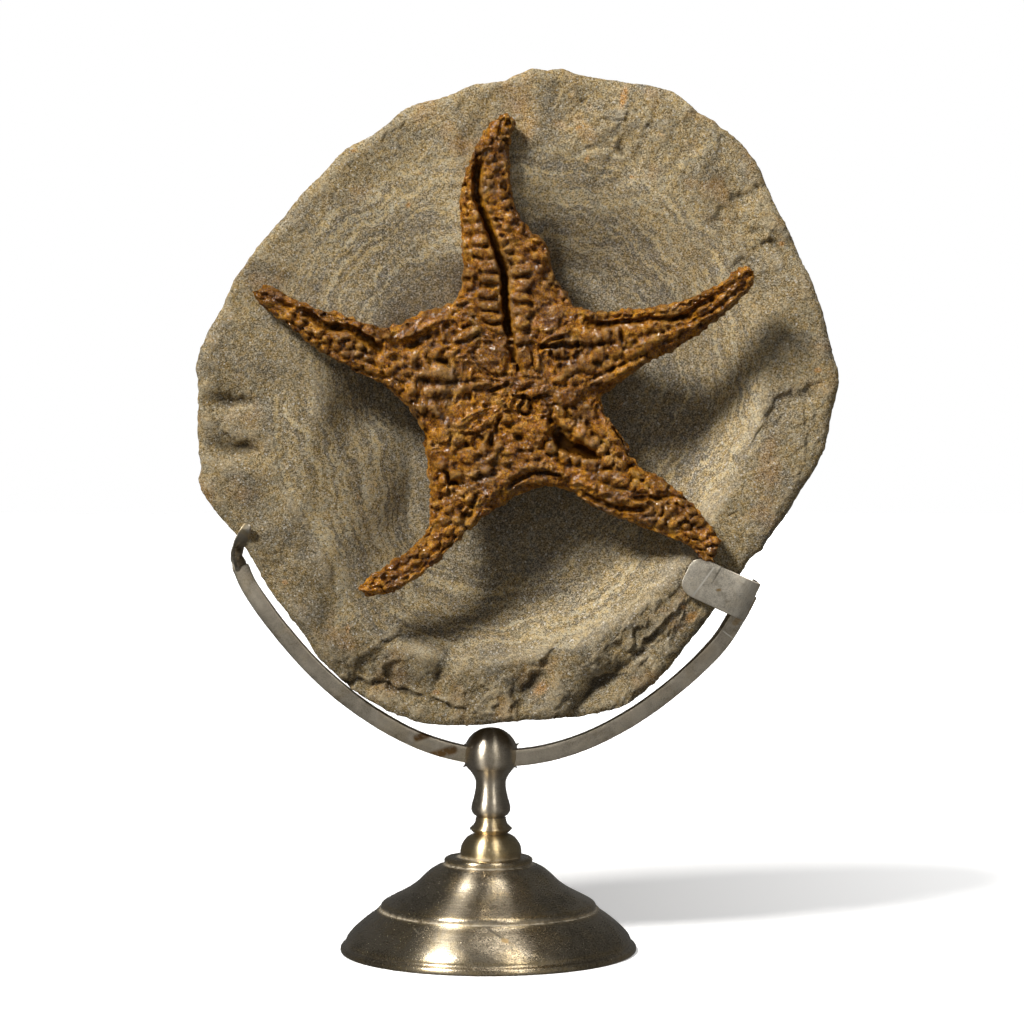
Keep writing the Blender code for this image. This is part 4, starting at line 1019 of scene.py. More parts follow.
# ---------------------------------------------------------------------- the starfish's shape
# Plates and beads: u, v, half length, half width, direction of the length, height.
BEADS = [
    (-16.3, 68.1, 2.3, 1.9, -4, 0.8), (-15.4, 63.9, 2.4, 2.0, -4, 1.0),
    (-14.3, 59.8, 3.1, 2.0, -4, 1.1), (-13.4, 55.7, 3.7, 2.3, -4, 1.2),
    (-12.2, 51.1, 3.7, 1.9, -4, 1.0), (-10.4, 46.4, 4.1, 2.6, -4, 1.2),
    (-9.9, 41.8, 4.3, 2.0, -4, 1.3), (-11.5, 36.8, 3.9, 2.1, -4, 1.6),
    (-10.4, 32.5, 4.4, 2.0, -4, 1.6), (-9.9, 28.3, 4.4, 2.1, -4, 1.5),
    (-15.9, 72.0, 1.9, 1.7, -4, 0.7), (-16.3, 75.6, 1.7, 1.6, -4, 0.6),
    (-16.3, 79.5, 1.7, 1.7, -4, 0.6), (-0.4, 48.7, 3.0, 1.9, 4, 1.2), (0.7, 44.9, 3.6, 2.1, 4, 1.4),
    (1.5, 39.7, 3.6, 2.6, 4, 1.4), (1.8, 35.4, 3.3, 2.1, 4, 1.4), (2.1, 30.4, 3.1, 2.6, 4, 1.7),
    (1.3, 26.1, 3.1, 2.3, 4, 1.7), (1.0, 20.4, 4.1, 1.9, 4, 1.3), (-5.7, 54.8, 1.9, 1.8, 0, 1.3),
    (-3.5, 52.5, 1.7, 1.6, 0, 1.0), (-2.5, 35.4, 1.3, 1.2, 0, 0.8), (-2.9, 43.9, 1.4, 1.4, 0, 0.8),
    (-2.7, 39.3, 1.1, 1.1, 0, 0.6), (-17.9, 80.9, 1.7, 1.6, 0, 0.9),
    (-19.1, 77.2, 1.7, 1.6, 0, 0.8), (-19.6, 73.5, 1.7, 1.6, 0, 0.9),
    (-19.8, 69.6, 1.6, 1.5, 0, 0.7), (-19.6, 65.6, 1.7, 1.6, 0, 0.8),
    (-18.2, 59.9, 1.9, 1.8, 0, 0.8), (-19.9, 54.6, 2.0, 1.9, 0, 1.2),
    (-17.9, 50.7, 2.1, 2.0, 0, 0.8), (-13.6, 88.0, 1.9, 1.8, 0, 0.9),
    (-16.8, 85.4, 1.9, 1.8, 0, 0.9), (-3.6, 99.7, 1.7, 1.6, 0, 1.0), (-6.4, 99.9, 1.4, 1.4, 0, 0.9),
    (-2.0, 98.0, 1.3, 1.2, 0, 1.0), (-7.9, 97.3, 1.7, 1.6, 0, 0.8), (-8.9, 93.2, 1.9, 1.8, 0, 0.8),
    (-4.3, 94.8, 1.9, 1.8, 0, 0.8), (-10.7, 91.2, 1.6, 1.5, 0, 0.8), (-2.3, 92.5, 1.6, 1.5, 0, 1.0),
    (-5.6, 89.2, 1.9, 1.8, 0, 0.9), (-10.0, 84.8, 1.7, 1.6, 0, 0.9), (-8.2, 82.0, 1.9, 1.8, 0, 0.9),
    (-10.4, 79.1, 1.6, 1.5, 0, 0.8), (-6.1, 77.0, 1.9, 1.8, 0, 0.9), (-3.6, 78.4, 1.6, 1.5, 0, 0.8),
    (-10.0, 75.9, 1.4, 1.4, 0, 0.8), (-5.7, 72.0, 2.0, 1.9, 0, 1.0), (-2.5, 73.5, 1.6, 1.5, 0, 0.8),
    (-9.3, 69.9, 1.4, 1.4, 0, 0.7), (-3.6, 68.5, 1.9, 1.8, 0, 0.9), (-0.4, 67.8, 1.6, 1.5, 0, 0.8),
    (-10.4, 66.7, 1.4, 1.4, 0, 0.8), (-6.4, 64.9, 1.9, 1.8, 0, 0.8), (-2.2, 63.5, 1.9, 1.8, 0, 0.9),
    (1.0, 64.2, 1.4, 1.4, 0, 0.8), (-4.3, 60.3, 1.7, 1.6, 0, 0.9), (0.7, 59.2, 1.7, 1.6, 0, 0.8),
    (-7.9, 61.4, 1.3, 1.2, 0, 0.7), (4.6, 58.4, 1.9, 1.8, 0, 1.1), (7.1, 56.4, 1.6, 1.5, 0, 0.9),
    (10.7, 52.0, 1.6, 1.5, 0, 1.1), (16.4, 36.6, 1.9, 1.8, 0, 1.0), (18.4, 34.2, 1.7, 1.6, 0, 1.0),
    (14.2, 40.6, 1.4, 1.4, 0, 0.9), (11.7, 42.9, 1.4, 1.4, 0, 0.8), (7.8, 45.0, 1.7, 1.6, 0, 0.8),
    (10.0, 39.3, 1.7, 1.6, 0, 0.7), (12.1, 35.4, 1.6, 1.5, 0, 0.7), (-17.9, 44.3, 3.4, 1.9, 0, 1.1),
    (-18.7, 39.3, 3.0, 1.8, 0, 1.1), (-20.3, 36.6, 2.3, 1.1, 0, 0.9),
    (-20.7, 33.6, 2.9, 1.4, 10, 0.8), (8.0, 49.6, 3.4, 2.0, 0, 1.1),
    (-10.0, 12.9, 6.3, 5.2, 0, 1.2), (-17.9, 22.3, 5.6, 2.1, 22, 1.4),
    (2.1, 13.6, 3.1, 4.4, 0, 1.2), (6.8, 12.1, 1.3, 3.7, 8, 1.1), (-6.6, 10.6, 2.1, 3.3, 0, 1.0),
    (-8.2, 16.5, 4.3, 2.1, 0, 0.5), (-7.2, 24.3, 4.3, 1.6, -12, 0.7),
    (7.8, 25.8, 4.3, 2.1, 15, 0.5), (11.4, 20.1, 3.9, 1.6, 30, 0.6), (15.0, 21.5, 3.6, 1.9, 0, 0.8),
    (-92.1, 38.2, 2.9, 1.9, -20, 0.9), (-87.8, 37.5, 2.4, 1.7, -25, 0.8),
    (-92.8, 34.3, 2.0, 2.4, 0, 0.7), (-89.3, 32.9, 2.1, 1.9, 0, 0.7),
    (-85.7, 35.7, 2.6, 1.6, -25, 0.9), (-82.1, 34.3, 2.4, 1.6, -25, 0.9),
    (-91.1, 30.7, 2.4, 1.6, -30, 0.7), (-88.2, 29.7, 2.0, 1.4, -30, 0.6),
    (-77.9, 33.2, 2.4, 1.6, -15, 1.0), (-74.3, 32.2, 2.3, 1.6, -15, 1.0),
    (-70.7, 31.1, 2.4, 1.6, -15, 1.0), (-67.1, 30.4, 2.1, 1.6, -10, 1.0),
    (-62.9, 29.0, 2.1, 1.9, 0, 1.2), (-59.3, 29.0, 2.3, 1.6, 0, 1.2),
    (-55.0, 29.0, 2.6, 1.4, -5, 1.2), (-50.7, 27.5, 2.4, 1.6, -25, 1.2),
    (-48.2, 24.7, 2.0, 2.4, 0, 1.3), (-46.8, 21.5, 1.9, 1.9, 0, 1.2),
    (-53.6, 23.6, 2.4, 2.1, 0, 1.0), (-53.6, 21.1, 1.4, 1.1, 0, 0.8),
    (-50.0, 20.1, 1.7, 1.0, 0, 0.9), (-57.9, 25.8, 2.1, 2.0, 0, 0.9),
    (-56.5, 17.9, 1.7, 1.6, 0, 1.2), (-52.5, 16.7, 1.7, 1.6, 0, 1.2),
    (-57.0, 15.3, 1.7, 1.4, 0, 1.1), (-53.6, 13.6, 1.9, 1.6, 0, 1.1),
    (-60.4, 18.3, 1.7, 1.4, 0, 1.0), (-62.2, 21.1, 1.6, 1.0, 0, 0.9),
    (-65.0, 20.4, 1.9, 1.4, -30, 1.0), (-68.6, 20.4, 1.9, 1.4, -30, 1.0),
    (-71.5, 22.2, 1.9, 1.4, -30, 1.0), (-74.7, 23.6, 1.9, 1.4, -30, 1.0),
    (-77.9, 25.8, 2.0, 1.4, -30, 1.0), (-81.4, 27.9, 2.0, 1.4, -30, 0.9),
    (-84.3, 27.9, 1.7, 1.4, -30, 0.8), (-81.1, 24.7, 1.9, 1.3, -30, 0.8),
    (-76.5, 21.5, 2.0, 1.3, -30, 0.9), (-72.9, 19.0, 2.0, 1.4, -30, 1.0),
    (-69.3, 16.8, 2.0, 1.4, -30, 1.0), (-65.0, 17.6, 1.9, 1.4, -30, 0.9),
    (-65.8, 14.0, 2.4, 1.7, -30, 1.0), (-61.5, 15.1, 2.1, 1.4, -20, 1.0),
    (-62.2, 11.8, 2.6, 1.4, -25, 0.9), (-57.9, 11.1, 2.1, 1.6, -10, 0.9),
    (-52.9, 10.1, 2.4, 1.6, -20, 1.0), (-56.5, 7.9, 2.9, 1.3, -10, 0.9),
    (-49.3, 12.2, 1.9, 1.9, 0, 1.0), (-46.3, 8.8, 1.7, 1.7, 0, 1.1),
    (-50.0, 7.2, 2.4, 1.1, -20, 0.8), (-47.2, 5.1, 2.6, 1.1, -35, 0.8),
    (-37.9, 2.2, 2.3, 2.0, 0, 1.2), (-31.8, 2.2, 2.4, 2.6, 0, 1.3), (-27.3, 2.1, 2.6, 2.1, 0, 1.3),
    (-38.6, 4.7, 2.1, 1.3, 0, 0.9), (-27.9, 7.9, 4.3, 2.6, 10, 1.3), (-24.2, 7.1, 2.3, 2.3, 0, 1.3),
    (-33.6, 7.9, 3.0, 2.0, 20, 1.1), (-29.7, -4.2, 2.0, 1.7, 0, 1.1),
    (-34.7, -4.2, 2.1, 1.6, -40, 1.0), (-40.1, -0.6, 2.4, 1.4, -45, 0.9),
    (-42.9, 2.9, 2.0, 1.3, -45, 0.9), (-23.6, 15.8, 3.6, 1.4, 30, 0.8),
    (-30.7, 14.3, 3.6, 1.7, 20, 0.9), (-27.9, 16.8, 3.1, 1.4, 20, 0.8),
    (-37.2, 13.6, 2.4, 1.4, 25, 0.8), (-42.2, 11.5, 3.1, 1.7, 10, 1.0),
    (-40.0, 8.6, 2.4, 1.4, 0, 0.9), (-44.3, 10.8, 1.4, 2.1, 0, 0.9),
    (17.8, -9.9, 3.4, 2.4, -5, 1.7), (22.5, -12.8, 3.9, 3.3, -25, 2.0),
    (26.1, -16.2, 3.3, 2.6, -20, 1.8), (29.7, -19.2, 2.3, 2.4, 0, 1.8),
    (32.0, -23.0, 2.3, 2.3, 0, 1.4), (35.7, -29.6, 3.4, 2.9, -10, 1.4),
    (43.0, -27.1, 3.3, 2.7, -10, 1.5), (49.3, -30.7, 4.4, 3.1, -30, 1.4),
    (56.5, -33.5, 2.3, 1.9, 0, 1.0), (41.8, -31.0, 1.9, 1.9, 0, 0.9),
    (11.8, -18.5, 2.6, 2.4, -30, 1.9), (16.1, -21.4, 2.0, 3.0, 5, 1.6),
    (20.4, -21.9, 2.1, 2.6, 0, 1.4), (25.4, -24.2, 3.3, 2.4, -25, 1.3),
    (31.6, -28.5, 2.7, 2.4, 0, 1.7), (37.3, -29.8, 3.0, 3.0, 0, 1.7),
    (40.2, -32.0, 2.0, 1.9, 0, 1.2), (44.3, -32.8, 2.3, 2.0, 0, 1.1),
    (47.9, -34.3, 2.1, 1.7, 0, 1.0), (23.6, -22.1, 1.9, 1.7, 0, 1.0),
    (17.8, -0.1, 5.9, 3.6, 10, 1.5), (24.3, -4.9, 4.3, 2.9, -45, 1.0),
    (9.3, -11.0, 3.9, 2.5, -20, 1.2), (5.0, -14.2, 4.3, 2.9, 0, 0.9),
    (5.0, -8.2, 4.3, 1.8, -10, 1.0), (2.5, -3.5, 1.6, 2.6, 0, 1.4), (5.7, 1.4, 4.6, 1.7, 8, 1.1),
    (2.8, 5.1, 2.9, 1.4, 0, 0.9), (8.6, -4.2, 1.6, 1.9, 0, 0.9), (15.0, -5.3, 2.9, 1.7, -40, 0.8),
    (20.0, -6.0, 2.9, 1.6, -40, 0.8), (29.3, -12.1, 2.6, 1.6, -55, 0.9),
    (31.4, -17.1, 2.1, 1.6, -50, 0.8), (36.5, -24.2, 2.9, 2.0, -35, 1.0),
    (39.3, -22.8, 2.1, 1.4, -40, 1.0), (35.0, -9.4, 1.6, 1.6, 0, 1.0),
    (40.7, -19.2, 1.7, 1.3, -60, 1.0), (38.6, -15.7, 1.9, 1.1, -60, 0.9),
    (46.5, -40.7, 1.9, 2.4, 20, 1.0), (50.1, -40.0, 1.7, 2.4, 20, 1.0),
    (53.3, -40.7, 1.6, 2.1, 20, 0.9), (47.2, -44.6, 2.4, 1.7, 0, 1.0),
    (50.8, -45.0, 2.0, 1.9, 0, 1.0), (55.1, -45.7, 1.9, 1.7, 0, 1.0),
    (58.0, -43.6, 2.0, 1.3, 30, 1.1), (55.1, -40.0, 1.9, 1.4, 30, 0.9),
    (58.7, -37.8, 2.4, 1.4, -30, 1.0), (61.5, -40.7, 2.4, 1.4, -30, 1.0),
    (60.1, -46.4, 2.0, 1.3, -20, 1.0), (63.0, -44.3, 2.0, 1.3, 30, 1.0),
    (65.5, -45.0, 2.0, 1.3, 30, 1.0), (62.3, -49.3, 2.4, 1.3, -20, 1.0),
    (65.8, -50.0, 2.1, 1.3, 10, 1.0), (68.7, -47.9, 2.0, 1.4, 20, 1.0),
    (68.0, -52.2, 2.0, 1.4, 20, 1.0), (71.2, -51.5, 1.9, 1.7, 0, 1.0),
    (65.1, -53.6, 2.1, 1.3, -20, 1.0), (69.1, -55.4, 2.0, 1.6, 0, 1.0),
    (71.6, -54.7, 1.6, 1.4, 0, 0.9), (67.3, -58.6, 1.7, 1.6, 0, 0.9),
    (69.8, -59.0, 1.6, 1.4, 0, 0.9), (59.4, -50.7, 1.9, 1.3, -20, 0.9),
    (63.7, -52.2, 1.3, 1.0, 0, 0.8), (25.0, 29.6, 2.1, 2.0, 0, 1.2), (30.0, 29.3, 2.0, 1.9, 0, 1.1),
    (34.6, 29.9, 2.0, 1.7, 0, 1.0), (38.9, 29.9, 2.0, 1.7, 0, 1.0), (43.2, 30.4, 2.0, 1.6, 5, 0.9),
    (47.1, 30.7, 2.0, 1.6, 10, 0.9), (51.4, 31.5, 2.1, 1.7, 15, 1.0),
    (55.3, 32.5, 2.1, 1.6, 15, 1.0), (59.2, 34.0, 2.1, 1.6, 20, 1.0),
    (62.8, 35.0, 2.0, 1.6, 20, 0.9), (66.7, 36.8, 2.0, 1.4, 25, 0.9),
    (70.6, 39.3, 2.0, 1.4, 28, 0.9), (74.6, 41.1, 2.0, 1.4, 30, 0.9),
    (78.1, 43.6, 2.1, 1.6, 35, 0.9), (81.3, 45.4, 2.1, 1.7, 20, 1.0),
    (83.5, 43.2, 1.4, 2.1, 0, 0.9), (82.1, 40.7, 1.7, 1.7, 0, 0.8), (31.4, 22.8, 1.7, 3.0, 3, 1.3),
    (27.8, 21.3, 1.7, 3.0, 0, 1.2), (34.8, 22.2, 1.4, 2.9, 0, 1.1), (41.5, 23.6, 2.6, 2.3, 0, 1.1),
    (22.8, 20.8, 3.6, 4.4, 0, 1.1), (43.2, 25.0, 1.9, 1.6, 0, 0.9), (38.5, 23.6, 1.4, 2.4, 0, 0.9),
    (45.7, 24.0, 2.1, 1.7, 20, 0.9), (28.5, 14.9, 3.3, 3.0, 20, 1.2),
    (23.6, 12.2, 2.9, 3.0, 10, 1.2), (34.4, 15.6, 3.3, 2.6, 25, 1.2), (25.8, 9.9, 2.0, 1.9, 0, 1.2),
    (44.4, 17.1, 4.3, 2.6, 20, 1.2), (49.4, 20.1, 3.7, 2.1, 20, 1.2),
    (54.3, 21.5, 3.3, 1.9, 20, 1.1), (48.2, 14.9, 1.7, 1.4, 0, 1.1), (44.6, 12.5, 1.7, 1.4, 0, 1.1),
    (40.0, 15.1, 2.6, 1.9, 20, 1.0), (36.4, 18.6, 2.0, 1.9, 0, 1.0),
    (32.1, 11.5, 2.4, 1.9, 20, 0.9), (18.6, 9.3, 2.9, 2.1, 20, 1.0), (15.0, 6.5, 2.4, 1.9, 20, 0.9),
    (20.7, 5.8, 3.1, 1.6, 20, 0.8), (30.0, 6.5, 4.3, 1.4, 30, 1.0), (57.8, 23.6, 2.9, 1.4, 25, 1.0),
    (62.1, 24.7, 2.6, 1.4, 28, 0.9), (66.4, 27.2, 2.9, 1.4, 30, 0.9),
    (70.7, 29.3, 2.6, 1.4, 35, 0.9), (74.9, 32.5, 2.6, 1.4, 40, 0.9),
    (78.5, 35.4, 2.3, 1.4, 45, 0.9), (81.7, 38.2, 2.0, 1.4, 55, 0.9),
    (72.1, 35.0, 2.1, 1.1, 30, 0.8), (75.6, 37.9, 2.0, 1.1, 35, 0.7),
    (64.9, 30.7, 2.1, 1.1, 30, 0.8), (60.0, 29.3, 1.7, 1.0, 25, 0.7),
    (14.3, 30.0, 3.6, 2.9, 0, 0.6), (11.4, 25.0, 3.6, 2.4, 20, 0.7), (18.5, 23.6, 2.4, 2.4, 0, 0.8),
    (18.5, 20.1, 2.0, 1.6, 0, 0.9), (13.5, 19.3, 2.1, 1.4, 0, 0.8), (7.1, 2.2, 4.3, 1.9, -5, 1.0),
    (4.3, 7.9, 3.6, 1.4, -10, 0.8), (11.4, 2.2, 3.6, 2.1, 0, 0.8), (-4.0, -8.2, 2.4, 2.0, 0, 1.6),
    (1.5, -11.4, 4.1, 2.6, 10, 1.3), (11.8, -18.3, 2.4, 2.0, 0, 1.5),
    (-17.9, -21.0, 3.6, 3.0, 20, 1.4), (-27.6, -24.4, 2.7, 2.3, 0, 1.5),
    (-22.2, -28.0, 2.7, 1.9, 0, 1.3), (-27.2, -29.4, 1.6, 2.3, 0, 1.3),
    (-25.1, -40.3, 1.7, 1.4, 0, 1.2), (-18.3, -40.9, 2.0, 1.4, 20, 1.4),
    (-26.1, -33.7, 1.4, 1.7, 0, 1.0), (-29.2, -5.7, 2.0, 1.7, 0, 1.2),
    (-10.8, -42.9, 3.3, 3.1, 20, 1.2), (-10.0, -8.5, 3.6, 1.9, 25, 1.1),
    (-15.8, -6.7, 4.3, 1.7, 25, 0.9), (-20.0, -9.2, 3.6, 1.6, 20, 0.9),
    (-13.6, -11.4, 3.1, 1.4, 25, 0.9), (-26.5, -14.2, 2.4, 2.9, 0, 1.0),
    (-21.5, -15.7, 2.6, 2.1, 0, 1.0), (-17.2, -15.7, 1.9, 2.1, 0, 0.9),
    (-12.9, -19.2, 2.1, 2.4, 0, 1.0), (-10.0, -22.1, 2.4, 1.4, 40, 1.0),
    (-7.2, -17.8, 1.7, 2.9, -40, 1.0), (-11.5, -26.4, 2.4, 1.6, 30, 1.0),
    (-15.8, -27.8, 1.9, 1.6, 0, 1.0), (-10.0, -30.7, 2.9, 1.9, 30, 0.9),
    (-5.0, -27.8, 2.9, 1.9, 20, 0.9), (-20.1, -34.3, 2.0, 1.6, 0, 1.0),
    (-17.2, -36.4, 1.9, 1.4, 0, 0.9), (-15.8, -32.1, 1.7, 1.4, 0, 0.9),
    (-29.4, -35.0, 1.9, 2.4, 0, 1.1), (-28.7, -38.6, 1.7, 2.0, 0, 1.0),
    (-30.8, -42.1, 1.7, 1.7, 0, 0.9), (-26.5, -44.3, 2.4, 1.9, 0, 1.0),
    (-21.5, -44.3, 2.1, 1.9, 0, 1.0), (-17.2, -45.0, 2.4, 1.7, 30, 1.0),
    (-33.0, -47.9, 1.9, 1.9, 0, 0.9), (-29.4, -49.3, 2.0, 1.6, 0, 0.9),
    (-25.1, -48.6, 2.0, 1.6, 0, 0.9), (-20.8, -48.6, 2.1, 1.4, 30, 0.9),
    (-34.4, -52.2, 1.9, 1.7, 0, 0.9), (-30.1, -52.9, 1.9, 1.4, 0, 0.9),
    (-25.8, -52.2, 2.0, 1.4, 20, 1.0), (-37.3, -55.4, 2.4, 1.7, 20, 1.0),
    (-33.7, -56.5, 1.9, 1.4, 20, 0.9), (-29.4, -57.2, 2.4, 1.4, 35, 0.9),
    (-40.8, -57.9, 2.4, 1.6, 20, 1.0), (-36.5, -59.3, 2.0, 1.3, 20, 0.8),
    (-45.1, -60.1, 2.4, 1.6, 20, 1.0), (-40.1, -61.5, 2.0, 1.3, 10, 0.8),
    (-49.4, -62.6, 2.4, 1.7, 20, 1.0), (-44.4, -63.6, 2.0, 1.3, 10, 0.8),
    (-53.0, -65.1, 2.0, 2.0, 0, 1.0), (-48.7, -66.5, 2.1, 1.4, 0, 0.8),
    (-53.8, -68.7, 2.0, 1.6, 0, 0.9), (-50.2, -69.4, 2.0, 1.3, 0, 0.8),
    (-45.9, -67.9, 2.4, 1.3, 10, 0.9), (-41.6, -66.5, 2.4, 1.3, 15, 0.9),
    (-37.3, -64.4, 2.4, 1.3, 25, 0.9), (-33.0, -62.2, 2.4, 1.4, 30, 0.9),
    (-28.7, -59.3, 2.4, 1.4, 35, 0.9), (-25.1, -55.8, 2.4, 1.6, 40, 0.9),
    (-21.5, -52.2, 2.4, 1.6, 42, 0.9), (-13.6, -37.1, 2.4, 1.7, 30, 0.9),
    (-31.5, 2.2, 2.6, 2.3, 0, 1.2), (-39.3, 0.1, 2.6, 1.9, -20, 1.0),
    (-26.5, 1.5, 2.9, 2.1, 0, 1.1), (-20.0, 2.2, 4.3, 1.7, 10, 1.0),
    (-12.9, 4.4, 4.3, 1.6, 10, 1.0), (-35.8, -4.2, 2.9, 1.3, -35, 1.1),
    (-38.6, 2.9, 2.1, 1.9, 0, 0.8), (-32.9, -9.9, 3.1, 1.7, -30, 0.9),
    (-27.2, -10.7, 2.1, 1.6, 0, 0.9), (-32.2, -16.4, 1.7, 1.7, 0, 1.0),
    (1.4, -3.5, 2.9, 2.9, 0, 1.0), (-2.9, -2.1, 1.6, 2.9, 0, 1.0), (5.7, 1.5, 3.6, 1.4, -5, 1.1),
    (2.8, 3.6, 4.3, 1.1, -20, 0.8), (8.6, -3.5, 2.1, 2.1, 0, 0.9), (4.3, -17.1, 5.0, 2.4, 10, 0.6),
    (-2.9, -19.2, 3.6, 2.1, 20, 0.6), (4.3, -21.4, 4.3, 1.7, 0, 0.6),
    (-8.6, -35.0, 2.9, 1.4, 40, 0.8),
]
